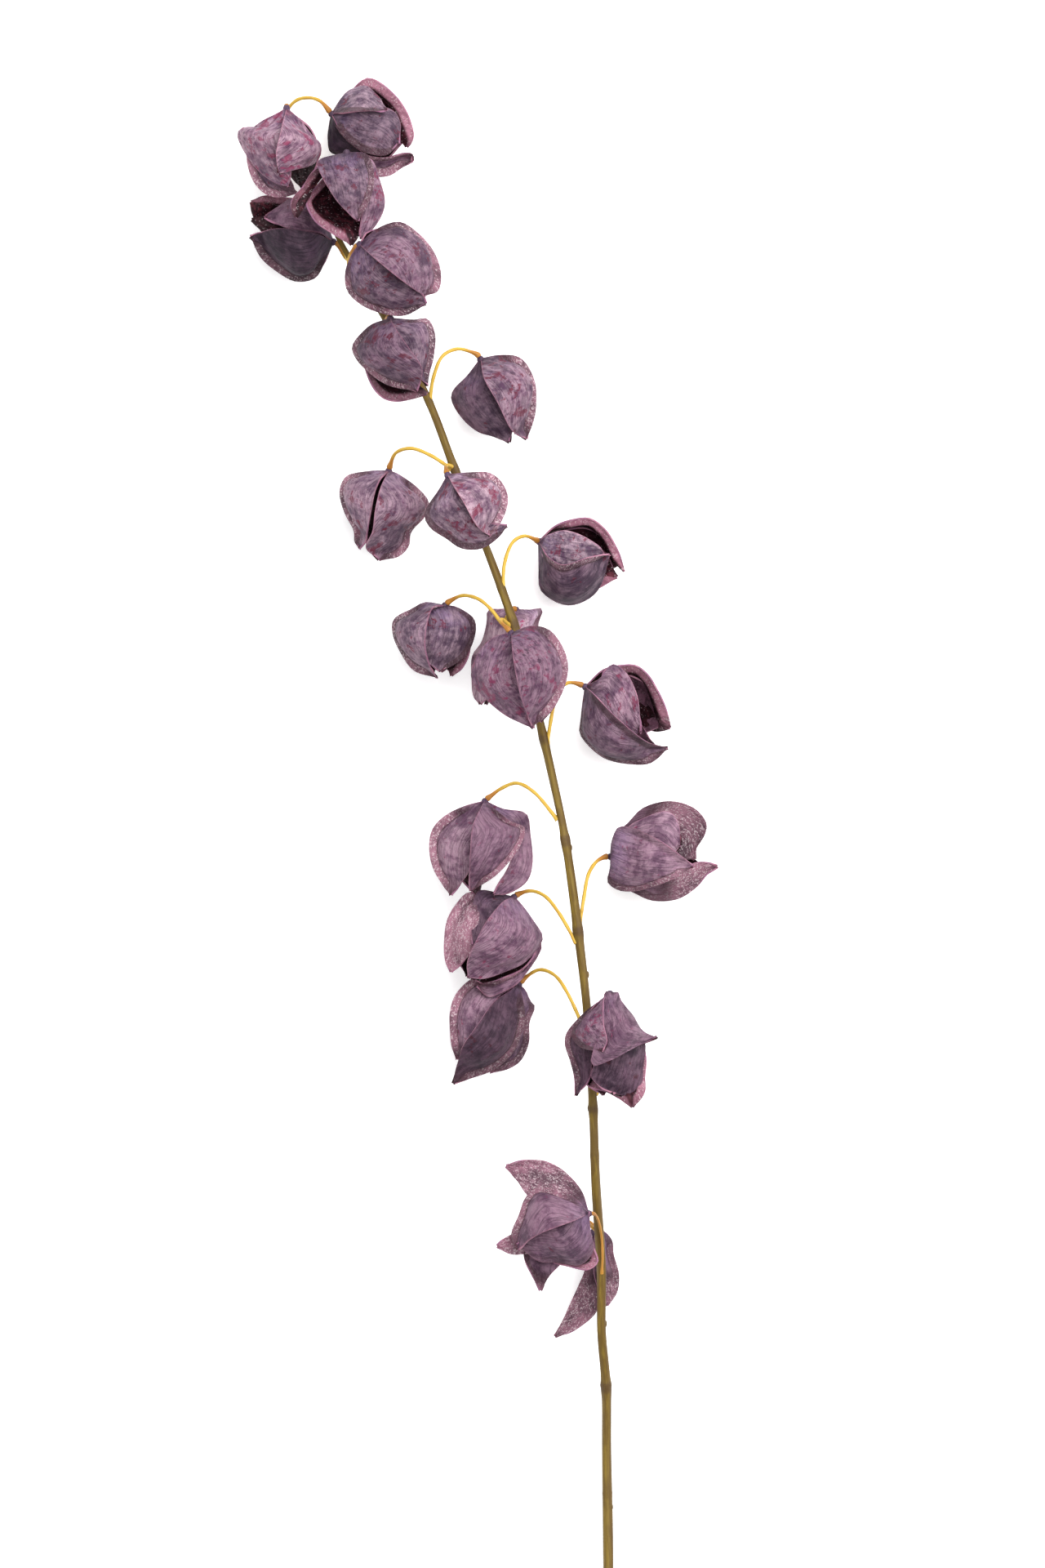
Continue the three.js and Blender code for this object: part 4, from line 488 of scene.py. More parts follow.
              (638, 1299, 0), (622, 1309, 0.1)], [(630, 1230, 0.5), (626, 1265, 0.55), (610, 1298, 0.4)]),
            ((0.6, 0, 0.5, 0.6, 0.2, 0.1), (567, 1312, -0.2),
             [(600, 1205, -0.4), (566, 1240, -0.4), (562, 1280, -0.3)],
             [(628, 1240, -0.9), (605, 1285, -0.9)]),
            ((0, 0.4, 0.5, 0.5, 0.2, 0), (585, 1315, -0.2), [(612, 1225, -0.7), (590, 1265, -0.75)],
             [(642, 1235, -0.3), (640, 1275, -0.35), (615, 1302, -0.3)]),
        ],
    },
    {
        "base": (747, 1215), "mouth": (740, 1345), "girth": 23, "height": 72, "rise": 10,
        "route": [(729, 1340, 43), (744, 1320, 38), (752, 1280, 36), (753, 1248, 44), (749, 1228, 54)],
        "petals": [
            ((0.4, 0.6, 0.62, 1.1, 0.3, 0), (804, 1269, 0.1),
             [(741, 1213, 0.75), (737, 1236, 1), (733, 1264, 1.12), (725, 1286, 1.16), (724, 1303, 1.16),
              (748, 1296, 1.14), (775, 1282, 0.95)],
             [(757, 1214, 0.5), (760, 1224, 0.45), (775, 1242, 0.35), (787, 1260, 0.2)]),
            ((1.2, 0.3, 0.74, 0.95, 0.9, 0), (738, 1284, 1.3),
             [(733, 1225, 0.75), (722, 1236, 0.6), (712, 1247, 0.5), (702, 1258, 0.45), (700, 1267, 0.5),
              (708, 1279, 0.7), (719, 1284, 1)],
             [(739, 1222, 1.1), (738, 1240, 1.24), (739, 1256, 1.3), (743, 1272, 1.32)]),
            ((1.8, 0.3, 0.32, 0.7, 0.3, 0), (705, 1340, 0.1),
             [(714, 1240, -0.1), (693, 1264, -0.1), (691, 1278, -0.1), (698, 1300, -0.05), (704, 1322, 0)],
             [(728, 1262, 0.3), (725, 1295, 0.36), (721, 1318, 0.24)]),
            ((0.6, 0.4, 0.34, 0.6, 0.55, 0), (752, 1336, 0.6),
             [(775, 1242, 0), (790, 1275, 0.05), (788, 1305, 0.1), (786, 1324, 0.2), (776, 1337, 0.3),
              (764, 1340, 0.4)],
             [(742, 1260, 0.49), (728, 1300, 0.56), (723, 1316, 0.52), (734, 1328, 0.49)]),
            ((0.4, 0, 0.6, 0.5, 0.2, 0.1), (738, 1340, -0.2),
             [(722, 1245, -0.3), (706, 1285, -0.3), (715, 1325, -0.3)],
             [(760, 1250, -0.9), (760, 1310, -0.9)]),
            ((2.5, 3, 0.95, 0.2, 0.2, 0), (774, 1354, 0.05),
             [(742, 1250, -0.72), (734, 1310, -0.6), (722, 1331, -0.2), (741, 1336, 0), (756, 1344, 0.05)],
             [(775, 1245, -0.3), (791, 1290, -0.15), (790, 1318, -0.05), (789, 1336, 0)]),
        ],
    },
    {
        "base": (722, 1485), "mouth": (630, 1500), "girth": 22, "height": 56, "rise": 0,
        "route": [(737, 1560, 30), (738, 1541, 34), (737, 1516, 37), (733, 1495, 45), (728, 1486, 52)],
        "petals": [
            ((2.2, 0.5, 0.86, 0.75, 0.2, 0.85), (620, 1427, 0),
             [(712, 1456, 0), (689, 1431, -0.1), (665, 1420, -0.1), (640, 1421, -0.05)],
             [(702, 1480, 0.2), (680, 1472, 0.25), (650, 1466, 0.25), (632, 1443, 0.15)]),
            ((2, 0.5, 0.7, 1, 0.1, 0), (634, 1529, 0.85),
             [(706, 1467, 0.7), (682, 1456, 0.65), (656, 1453, 0.55), (643, 1465, 0.6), (635, 1486, 0.7),
              (626, 1512, 0.75)], [(700, 1494, 1.05), (672, 1504, 1.12), (650, 1515, 1.1)]),
            ((1, 0.3, 0.62, 0.7, 0.15, 0), (634, 1523, 0.85),
             [(721, 1482, 0.5), (724, 1506, 0.4), (727, 1530, 0.3), (711, 1548, 0.4), (684, 1544, 0.7),
              (660, 1543, 0.9)], [(705, 1488, 0.61), (675, 1495, 0.63), (650, 1508, 0.61)]),
            ((1.4, 0.5, 0.46, 0.8, 0.2, 0.2), (662, 1579, 0.1),
             [(655, 1515, 0.4), (641, 1534, 0.3), (651, 1558, 0.2)],
             [(700, 1522, 0.1), (690, 1543, 0.1), (674, 1560, 0.1)]),
            ((1.8, 0, 0.9, 0.8, 0.2, 0), (663, 1541, 0),
             [(724, 1520, -0.3), (733, 1544, -0.2), (720, 1555, -0.1), (690, 1550, 0)],
             [(710, 1505, -0.85), (680, 1525, -0.7)]),
            ((0.6, 0, 0.9, 0.8, 0.2, 0.6), (609, 1525, 0.1),
             [(665, 1500, 0.3), (640, 1504, 0.2), (622, 1513, 0.1)],
             [(665, 1528, 0.3), (640, 1535, 0.2), (625, 1535, 0.1)]),
        ],
    },
    {
        "base": (728, 1508), "mouth": (712, 1625), "girth": 17, "height": 15, "rise": 0,
        "route": [(733, 1510, 33), (722, 1500, 28), (720, 1496, 20), (725, 1500, 16)],
        "petals": [
            ((1.6, 0.8, 0.66, 0.5, 0.2, 0.65), (680, 1638, 0),
             [(721, 1530, 0.1), (716, 1556, 0), (698, 1599, -0.05)],
             [(735, 1540, 0.2), (733, 1585, 0.2), (731, 1607, 0.15), (708, 1628, 0.1)]),
            ((1.6, 0.2, 0.62, 0.5, 0.2, 0.45), (744, 1600, 0.1),
             [(739, 1508, 0), (750, 1520, 0), (752, 1537, 0), (758, 1560, 0), (757, 1582, 0)],
             [(728, 1525, 0.4), (728, 1560, 0.5), (735, 1585, 0.35)]),
            ((0.4, 0, 0.5, 0.5, 0.2, 0.3), (705, 1622, -0.3),
             [(736, 1530, -0.85), (745, 1570, -0.75), (735, 1600, -0.45)],
             [(718, 1550, -0.5), (705, 1595, -0.5)]),
        ],
    },
]

# Stalks that are thinner and more amber than the others: share of the common radius, and share of amber.
THIN_STALKS = {20: (0.72, 0.55), 21: (0.8, 0.4)}


def paint(red, green, blue):
    """A colour read as 0 to 255 on a screen, as the linear values that Blender uses."""
    screen = np.array([red, green, blue]) / 255
    linear = np.where(screen <= 0.04045, screen / 12.92, ((screen + 0.055) / 1.055) ** 2.4)
    return tuple(float(value) for value in linear)


class StemSettings(bpy.types.PropertyGroup):
    """Sizes and colours of the stem."""

    sides: bpy.props.IntProperty(name="Sides", description="Points round the stem", default=32, min=8)
    step: bpy.props.FloatProperty(
        name="Ring step", description="From ring to ring", default=1.6 * MM, min=0.5 * MM, unit="LENGTH"
    )
    nub_radius: bpy.props.FloatProperty(
        name="Nub radius", description="Radius of a scar stub", default=1.2 * MM, unit="LENGTH"
    )
    coat: bpy.props.FloatVectorProperty(
        name="Coat", description="Olive of the coated stem", default=paint(92, 70, 22), subtype="COLOR"
    )
    lit_coat: bpy.props.FloatVectorProperty(
        name="Light coat", description="Yellow of thin places", default=paint(120, 98, 32), subtype="COLOR"
    )
    # The scar brown also paints the shade on the side of the stem that turns right.
    scar: bpy.props.FloatVectorProperty(
        name="Scar", description="Brown of joints and patches", default=paint(68, 46, 24), subtype="COLOR"
    )


class PedicelSettings(bpy.types.PropertyGroup):
    """Sizes and colours of the lanterns' stalks."""

    sides: bpy.props.IntProperty(name="Sides", description="Points round a stalk", default=16, min=6)
    step: bpy.props.FloatProperty(
        name="Ring step", description="From ring to ring", default=0.9 * MM, min=0.3 * MM, unit="LENGTH"
    )
    radius: bpy.props.FloatProperty(
        name="Radius", description="Radius of the plain stalk", default=1.0 * MM, unit="LENGTH"
    )
    swell_radius: bpy.props.FloatProperty(
        name="End radius", description="Radius of the swollen end", default=1.8 * MM, unit="LENGTH"
    )
    swell_length: bpy.props.FloatProperty(
        name="Swelling", description="Length over which the end swells", default=3.5 * MM, unit="LENGTH"
    )
    seat: bpy.props.FloatProperty(
        name="Seat", description="Length left free at the lantern's base", default=0.9 * MM, unit="LENGTH"
    )
    yellow: bpy.props.FloatVectorProperty(
        name="Yellow", description="Colour of the plain stalk", default=paint(196, 160, 58), subtype="COLOR"
    )
    amber: bpy.props.FloatVectorProperty(
        name="Amber", description="Colour of the swollen end", default=paint(163, 108, 34), subtype="COLOR"
    )


class LanternSettings(bpy.types.PropertyGroup):
    """Sizes and colours of the petals."""

    columns: bpy.props.IntProperty(name="Columns", description="Steps from edge to edge", default=34, min=6)
    rows: bpy.props.IntProperty(name="Rows", description="Steps from root to tip", default=30, min=6)
    thickness: bpy.props.FloatProperty(
        name="Thickness", description="Thickness of the sheet", default=0.95 * MM, unit="LENGTH"
    )
    flange: bpy.props.FloatProperty(
        name="Flange", description="Width of the woven margin", default=4.2 * MM, unit="LENGTH"
    )
    ripple: bpy.props.FloatProperty(
        name="Ripple", description="Depth of the sheet's dents", default=0.45 * MM, unit="LENGTH"
    )
    grey_violet: bpy.props.FloatVectorProperty(
        name="Grey violet", description="Ground of the outside", default=paint(92, 74, 91), subtype="COLOR"
    )
    mauve: bpy.props.FloatVectorProperty(
        name="Mauve", description="Pinker ground of the outside", default=paint(126, 82, 110), subtype="COLOR"
    )
    powder: bpy.props.FloatVectorProperty(
        name="Powder", description="Pale bloom on the outside", default=paint(166, 139, 151), subtype="COLOR"
    )
    violet: bpy.props.FloatVectorProperty(
        name="Violet", description="Dark dabs on the outside", default=paint(46, 20, 46), subtype="COLOR"
    )
    crimson: bpy.props.FloatVectorProperty(
        name="Crimson", description="Blotches on the outside", default=paint(98, 26, 50), subtype="COLOR"
    )
    # The cut rim's pink also paints a highlight along the petals' edges.
    rim: bpy.props.FloatVectorProperty(
        name="Cut rim", description="Pink of the cut edge", default=paint(164, 112, 130), subtype="COLOR"
    )
    # The lining's dark also paints the shadow in the crease behind a woven margin.
    lining: bpy.props.FloatVectorProperty(
        name="Lining", description="Dark inside of a lantern", default=paint(38, 15, 22), subtype="COLOR"
    )
    # Glint paints the sparkle of the glittery threads, a painted highlight, on the margins and inside the
    # lanterns.
    glint: bpy.props.FloatVectorProperty(
        name="Glint", description="Bright threads of a margin", default=paint(230, 212, 216), subtype="COLOR"
    )


class StageSettings(bpy.types.PropertyGroup):
    """Camera distance and lights."""

    distance: bpy.props.FloatProperty(
        name="Distance", description="Height of the camera over the spray", default=10.0, unit="LENGTH"
    )
    sky: bpy.props.FloatProperty(name="Sky", description="Strength of the even white light", default=0.6)
    key: bpy.props.FloatProperty(
        name="Key", description="Power of the large soft lamp", default=590.0, unit="POWER"
    )
    floor: bpy.props.FloatVectorProperty(
        name="Floor", description="Colour of the floor", default=paint(250, 250, 250), subtype="COLOR"
    )
    # The floor's glow is painted light: the floor is no lamp.
    glow: bpy.props.FloatProperty(name="Glow", description="How strongly the floor glows", default=0.36)


# Shapes


def on_plan(pixels):
    """Places in the photograph's pixels as millimetres over the plan, with y upwards."""
    pixels = np.asarray(pixels, float)
    return (pixels - PLAN_CENTRE) * np.array([MM_PER_PIXEL, -MM_PER_PIXEL])


def unit(vectors):
    """Each vector divided by its length."""
    return vectors / np.maximum(np.linalg.norm(vectors, axis=-1, keepdims=True), 1e-9)


def smooth_step(values, low, high):
    """Rises from 0 at low to 1 at high, flat at both ends: 3t^2 - 2t^3."""
    share = np.clip((values - low) / (high - low), 0, 1)
    return share * share * (3 - 2 * share)


def dense_curve(knots):
    """A centripetal Catmull-Rom curve: each span is a cubic through its two knots, whose end slopes come
    from the neighbouring knots, spaced by the square root of their distances. Returns points and running
    lengths."""
    knots = np.asarray(knots, float)
    padded = np.vstack([2 * knots[0] - knots[1], knots, 2 * knots[-1] - knots[-2]])
    p0, p1, p2, p3 = padded[:-3], padded[1:-2], padded[2:-1], padded[3:]
    gaps = [np.sqrt(np.linalg.norm(b - a, axis=1))[:, None] for a, b in ((p0, p1), (p1, p2), (p2, p3))]
    slope1 = ((p1 - p0) / gaps[0] - (p2 - p0) / (gaps[0] + gaps[1]) + (p2 - p1) / gaps[1]) * gaps[1]
    slope2 = ((p2 - p1) / gaps[1] - (p3 - p1) / (gaps[1] + gaps[2]) + (p3 - p2) / gaps[2]) * gaps[1]
    t = np.linspace(0, 1, CURVE_STEPS, endpoint=False)[None, :, None]
    a, b, m, n = (values[:, None, :] for values in (p1, p2, slope1, slope2))
    spans = a + m * t + (3 * (b - a) - 2 * m - n) * t**2 + (2 * (a - b) + m + n) * t**3
    points = np.vstack([spans.reshape(-1, knots.shape[1]), knots[-1]])
    return points, running_length(points)


def running_length(points):
    """The way travelled along a path at each of its points."""
    return np.concatenate([[0], np.cumsum(np.linalg.norm(np.diff(points, axis=0), axis=1))])


def along_curve(curve, lengths):
    """The curve's points at the given running lengths."""
    points, running = curve
    return np.stack([np.interp(lengths, running, axis) for axis in points.T], axis=-1)


def tube_frames(centres):
    """Two directions across a path at each of its points, carried along it without twist: each is the one
    before with its share along the new tangent taken out."""
    tangents = unit(np.gradient(centres, axis=0))
    side = np.cross(tangents[0], [0.3, 0.2, 1.0])
    sides = []
    for tangent in tangents:
        side = unit(side - tangent * (side @ tangent))
        sides.append(side)
    sides = np.array(sides)
    return tangents, sides, np.cross(tangents, sides)


def ring_quads(rows, size):
    """Quads between the neighbouring rows of a grid whose columns close to a ring."""
    start = np.arange(rows - 1)[:, None] * size + np.arange(size)
    after = np.arange(rows - 1)[:, None] * size + np.roll(np.arange(size), -1)
    return np.stack([start, after, after + size, start + size], axis=-1).reshape(-1, 4).tolist()


def tube(centres, radii, sides, first, second):
    """A closed skin round a path: centre + radius (cos a first + sin a second), with a fan at both ends.
    Returns points, faces and the angle and row of each point."""
    angles = np.linspace(0, 2 * np.pi, sides, endpoint=False)
    ring = np.cos(angles)[None, :, None] * first[:, None] + np.sin(angles)[None, :, None] * second[:, None]
    points = centres[:, None] + np.broadcast_to(radii, (len(centres), sides))[..., None] * ring
    points = np.vstack([points.reshape(-1, 3), centres[0], centres[-1]])
    rows = len(centres)
    count = rows * sides
    last = count - sides
    steps = [(side, (side + 1) % sides) for side in range(sides)]
    faces = ring_quads(rows, sides)
    faces += [(count, b, a) for a, b in steps]
    faces += [(count + 1, last + a, last + b) for a, b in steps]
    around = np.concatenate([np.tile(angles, rows), [0, 0]])
    row = np.concatenate([np.repeat(np.arange(rows), sides), [0, rows - 1]])
    return points, faces, around, row


def stem_line(step):
    """The middle and the radius of the stem at even stations along its curve. Joints add bell-shaped
    swells."""
    knots = np.array(STEM_PATH)
    path = np.column_stack([on_plan(knots[:, :2]), knots[:, 2]])
    curve = dense_curve(path)
    stations = np.linspace(0, curve[1][-1], int(curve[1][-1] / step) + 1)
    centres = along_curve(curve, stations)
    centres[:, 2] = np.maximum(centres[:, 2], STEM_FOOT_HEIGHT)
    radii = np.interp(centres[:, 1], path[:, 1], knots[:, 3])
    for pixel_y, swell, length in STEM_JOINTS:
        away = (centres[:, 1] - on_plan([0, pixel_y])[1]) / length
        radii = radii + swell * np.exp(-(away**2))
    return centres, radii


class Skin:
    """Collects points, faces, materials and attributes of one piece, and makes its mesh."""

    def __init__(self):
        self.points = []
        self.faces = []
        self.slots = []
        self.values = {}
        self.count = 0

    def add(self, points, faces, slots, **values):
        """Adds one shell: points in millimetres over the plan, faces, a material for each face and
        values."""
        self.points.append(points)
        self.faces += [tuple(corner + self.count for corner in face) for face in faces]
        self.slots += list(slots)
        for name, value in values.items():
            spread = np.broadcast_to(value, (len(points), *np.shape(value)[1:]))
            self.values.setdefault(name, []).append(spread)
        self.count += len(points)

    def make(self, name, materials, crease=40):
        """Makes the mesh object in metres, smooth but for edges sharper than the crease angle."""
        points = (np.vstack(self.points) + PART_SHIFT) * MM
        points[:, 2] = np.maximum(points[:, 2], 0)
        mesh = bpy.data.meshes.new(name)
        mesh.from_pydata(points.tolist(), [], self.faces)
        for material in materials:
            mesh.materials.append(material)
        mesh.polygons.foreach_set("material_index", np.array(self.slots, np.int32))
        mesh.polygons.foreach_set("use_smooth", np.ones(len(mesh.polygons), bool))
        for attribute, parts in self.values.items():
            data = np.concatenate(parts).astype(np.float32)
            wide = data.ndim == 2
            layer = mesh.attributes.new(attribute, "FLOAT_VECTOR" if wide else "FLOAT", "POINT")
            layer.data.foreach_set("vector" if wide else "value", data.ravel())
        mesh.set_sharp_from_angle(angle=math.radians(crease))
        mesh.validate()
        mesh.update()
        piece = bpy.data.objects.new(name, mesh)
        bpy.context.scene.collection.objects.link(piece)
        return piece


class Globe:
    """The rounded form that a lantern's petals lie on, with its axis from base to mouth over the plan."""

    def __init__(self, lantern):
        base, mouth = on_plan(lantern["base"]), on_plan(lantern["mouth"])
        self.half = np.linalg.norm(mouth - base) / 2
        self.along = (mouth - base) / (2 * self.half)
        self.across = np.array([-self.along[1], self.along[0]])
        self.middle = (base + mouth) / 2
        self.girth, self.height, self.rise = lantern["girth"], lantern["height"], lantern["rise"]
        self.base = self.place([(*lantern["base"], 0)])[0]
        self.mouth = self.place([(*lantern["mouth"], 0)])[0]

    def level(self, a):
        """Height of the axis at a distance a from its middle."""
        return self.height + self.rise * a / (2 * self.half)

    def place(self, spots):
        """Points [x, y, face]: height of the axis + face x girth x sqrt(1 - (c/girth)^2 - (a/stretched
        half)^2)."""
        spots = np.asarray(spots, float)
        plan = on_plan(spots[:, :2])
        a, c = (plan - self.middle) @ self.along, (plan - self.middle) @ self.across
        filled = 1 - (c / self.girth) ** 2 - (a / (GLOBE_STRETCH * self.half)) ** 2
        depth = self.girth * np.sqrt(np.maximum(filled, LEAST_DEPTH))
        return np.column_stack([plan, self.level(a) + spots[:, 2] * depth])

    def beside(self, points):
        """The points of the axis that lie beside the given points."""
        a = (points[..., :2] - self.middle) @ self.along
        plan = self.middle + a[..., None] * self.along
        return np.concatenate([plan, self.level(a)[..., None]], axis=-1)


def petal_edges(globe, tip, first, second, v):
    """A petal's two edges at the shares v of their lengths, and the way that the petal faces. Both edges
    run from the root by their own places to the two sides of the tip."""
    tip = globe.place([tip])[0]
    places = globe.place(first), globe.place(second)
    spread = unit(places[1][-1] - places[0][-1])
    edges = []
    for spots, side in zip(places, (-1, 1)):
        start = globe.base + ROOT_REACH * unit(spots[0] - globe.base)
        curve = dense_curve(np.vstack([start, spots, tip + side * TIP_HALF_WIDTH * spread]))
        edges.append(along_curve(curve, v * curve[1][-1]))
    spots = np.vstack(places)
    return edges, unit((spots - globe.beside(spots)).sum(axis=0))


def sheet_dents(u, v, seed):
    """Shallow dents: a sum of sines across times sines along the sheet, each with a phase and a pace of its
    own."""
    random = np.random.default_rng(seed)
    phase = random.uniform(0, 2 * np.pi, DENT_WAVES.shape)
    pace = random.uniform(0.7, 1.3, DENT_WAVES.shape) * DENT_WAVES * np.pi
    across = np.sin(pace[:, 0, None] * u + phase[:, 0, None])
    along = np.sin(pace[:, 1, None] * v + phase[:, 1, None])
    weaker = 1 + DENT_FADING * np.arange(len(DENT_WAVES))
    return np.einsum("kv,ku,k->vu", along, across, 1 / weaker)


def flared_margins(u, v, width, flares, flange_width):
    """What the flares do to a sheet of the given width: how far it is drawn in beside each margin, a bell
    over the distance from the edge, how much of each point belongs to a margin, and its distance from the
    nearest edge."""
    margin = np.minimum(flange_width, MARGIN_SHARE * width + 0.01)[:, None]
    fade = (smooth_step(v, 0.1, 0.32) * (1 - 0.5 * smooth_step(v, 0.85, 1)))[:, None]
    drawn = 0
    flange = 0
    from_edge = []
    for side, flare in zip((1, -1), flares):
        away = width[:, None] * (1 + side * u) / 2
        from_edge.append(away)
        band = 1 - smooth_step(away, 0.82 * margin, 1.04 * margin)
        flange = np.maximum(flange, band * np.clip((flare - LEAST_FLARE) / FLARE_SPAN, 0, 1))
        bell = smooth_step(away, 0, 0.95 * margin) * (1 - smooth_step(away, margin, 3.4 * margin))
        drawn = drawn + flare * bell * fade * np.minimum(1, margin / 3)
    return drawn, flange * fade, np.minimum(*from_edge)


def petal_sheet(globe, petal, settings, seed):
    """A petal's outer face as a grid of points. Row v is an arc of a circle between the petal's two edges:
    middle + chord R sin(w) + outward R (cos(w) - cos(half)), with w from -half to half. The columns stand
    closer towards the edges. Beside a flared edge the sheet is drawn in by the flare, so that its margin
    turns outwards, and the whole sheet has shallow dents."""
    finish, tip, first, second = petal
    s = np.linspace(0, 1, settings.rows + 1)
    v = 0.45 * s + 0.55 * np.sin(s * np.pi / 2)
    edges, facing = petal_edges(globe, tip, first, second, v)
    middle = (edges[0] + edges[1]) / 2
    chord = edges[1] - edges[0]
    rounding = np.sqrt(1 - TIP_ROUNDING * np.clip((v - TIP_START) / (1 - TIP_START), 0, 1) ** 2)
    half_chord = rounding * np.linalg.norm(chord, axis=1) / 2
    chord = unit(chord)
    outward = middle - globe.beside(middle) + FACING_SHARE * globe.girth * facing
    outward = unit(outward - chord * (outward * chord).sum(axis=1)[:, None])
    radius = np.maximum(globe.girth, WIDEST_ARC * half_chord)
    half_angle = np.arcsin(half_chord / radius)
    s = np.linspace(-1, 1, settings.columns + 1)
    u = 0.35 * s + 0.65 * np.sin(s * np.pi / 2)
    angle = half_angle[:, None] * u
    lift = np.cos(angle) - np.cos(half_angle)[:, None]
    grid = middle[:, None] + chord[:, None] * (radius[:, None] * np.sin(angle))[..., None]
    grid = grid + outward[:, None] * (radius[:, None] * lift)[..., None]

    width = 2 * radius * half_angle
    drawn, flange, nearest = flared_margins(u, v, width, finish[:2], settings.flange / MM)
    dents = sheet_dents(u, v, seed) * settings.ripple / MM * smooth_step(v, 0.05, 0.3)[:, None]
    grid = grid + sheet_normals(grid, facing) * (0.6 * dents - drawn)[..., None]
    across = radius[:, None] * angle
    lengthwise = np.broadcast_to(running_length(middle)[:, None], across.shape)
    return grid, facing, nearest, flange, across, lengthwise


def sheet_normals(grid, facing):
    """Unit normals of a grid of points, all on the side that the petal faces."""
    normals = unit(np.cross(np.gradient(grid, axis=0), np.gradient(grid, axis=1)))
    return normals * np.sign((normals @ facing).sum())


def petal_shell(skin, globe, petal, number):
    """Closes a petal's sheet to a shell: each row becomes a loop of outer points, a slightly rounded rim,
    inner points one thickness further in and the other rim, and both ends are capped."""
    settings = bpy.context.scene.spray_lanterns
    grid, facing, nearest, flange, across, lengthwise = petal_sheet(globe, petal, settings, number)
    normals = sheet_normals(grid, facing)
    inner = grid - normals * (settings.thickness / MM)
    rims = [
        (grid[:, edge] + inner[:, edge]) / 2 + RIM_BULGE * unit(grid[:, edge] - grid[:, beside])
        for edge, beside in ((-1, -2), (0, 1))
    ]
    loop = np.concatenate([grid, rims[0][:, None], inner[:, ::-1], rims[1][:, None]], axis=1)
    rows, size = loop.shape[:2]
    n = grid.shape[1]
    points = loop.reshape(-1, 3)

    def looped(values):
        """Carries values of the sheet's grid on to the loop's points."""
        return np.concatenate([values, values[:, -1:], values[:, ::-1], values[:, :1]], axis=1).ravel()

    kinds = np.full(size, INSIDE)
    kinds[: n - 1] = OUTSIDE
    kinds[[n - 1, n, size - 2, size - 1]] = RIM
    faces = ring_quads(rows, size)
    slots = np.tile(kinds, rows - 1).tolist()
    for at, turned in ((0, True), ((rows - 1) * size, False)):
        caps = [(at + c, at + c + 1, at + 2 * n - 1 - c, at + 2 * n - c) for c in range(n - 1)]
        caps += [(at + n - 1, at + n, at + n + 1), (at + size - 1, at, at + size - 2)]
        faces += [face[::-1] if turned else face for face in caps]
        slots += [RIM] * len(caps)
    middle = rows // 2 * size + n // 2
    turn = np.cross(points[middle + 1] - points[middle], points[middle + size] - points[middle])
    if turn @ normals[rows // 2, n // 2] < 0:
        faces = [face[::-1] for face in faces]
    woven = petal[0][5]
    reach = smooth_step(lengthwise / lengthwise.max(), 0.95 - 1.1 * woven, 1.25 - 1.1 * woven)
    pattern = [looped(across), looped(lengthwise), np.full(len(points), PATTERN_SHIFT * number)]
    skin.add(
        points, faces, slots,
        sheet=np.column_stack(pattern) * MM,
        finish=np.tile(petal[0][2:5], (len(points), 1)),
        edge=looped(nearest) * MM,
        flange=looped(np.maximum(flange, reach * min(1, 6 * woven))),
        root=looped(lengthwise) * MM,
    )


def lantern_hub(skin, globe, number):
    """The small neck that the petals grow from: a profile of radius over length, turned round the axis."""
    axis = unit(globe.mouth - globe.base)
    length, radii = HUB_PROFILE.T
    centres = globe.base + length[:, None] * axis
    side = unit(np.cross(axis, [0.1, 0.2, 1.0]))
    first = np.tile(side, (len(length), 1))
    second = np.tile(np.cross(axis, side), (len(length), 1))
    points, faces, around, row = tube(centres, radii[:, None], HUB_SIDES, first, second)
    count = len(points)
    skin.add(
        points, faces, [OUTSIDE] * len(faces),
        sheet=np.column_stack([around * 2, length[row], np.full(count, PATTERN_SHIFT * number)]) * MM,
        finish=np.tile((0.8, 0.3, 0.1), (count, 1)),
        edge=np.full(count, 5 * MM),
        flange=np.zeros(count),
        root=np.full(count, 4 * MM),
    )


# Materials


class Socket:
    """One output in a node tree. Sums, products and other expressions of it add Math nodes."""

    def __init__(self, shader, output):
        self.shader = shader
        self.output = output

    def maths(self, operation, *values):
        """A Math node of the values in their order."""
        return self.shader.node("Math", {"operation": operation}, dict(enumerate(values)))

    def __add__(self, other):
        return self.maths("ADD", self, other)

    __radd__ = __add__

    def __mul__(self, other):
        return self.maths("MULTIPLY", self, other)

    __rmul__ = __mul__

    def __sub__(self, other):
        return self.maths("SUBTRACT", self, other)

    def __rsub__(self, other):
        return self.maths("SUBTRACT", other, self)

    def above(self, low, high):
        """Rises smoothly from 0 at low to 1 at high."""
        made = {"Value": self, "From Min": low, "From Max": high}
        return self.shader.node("MapRange", {"interpolation_type": "SMOOTHSTEP"}, made)


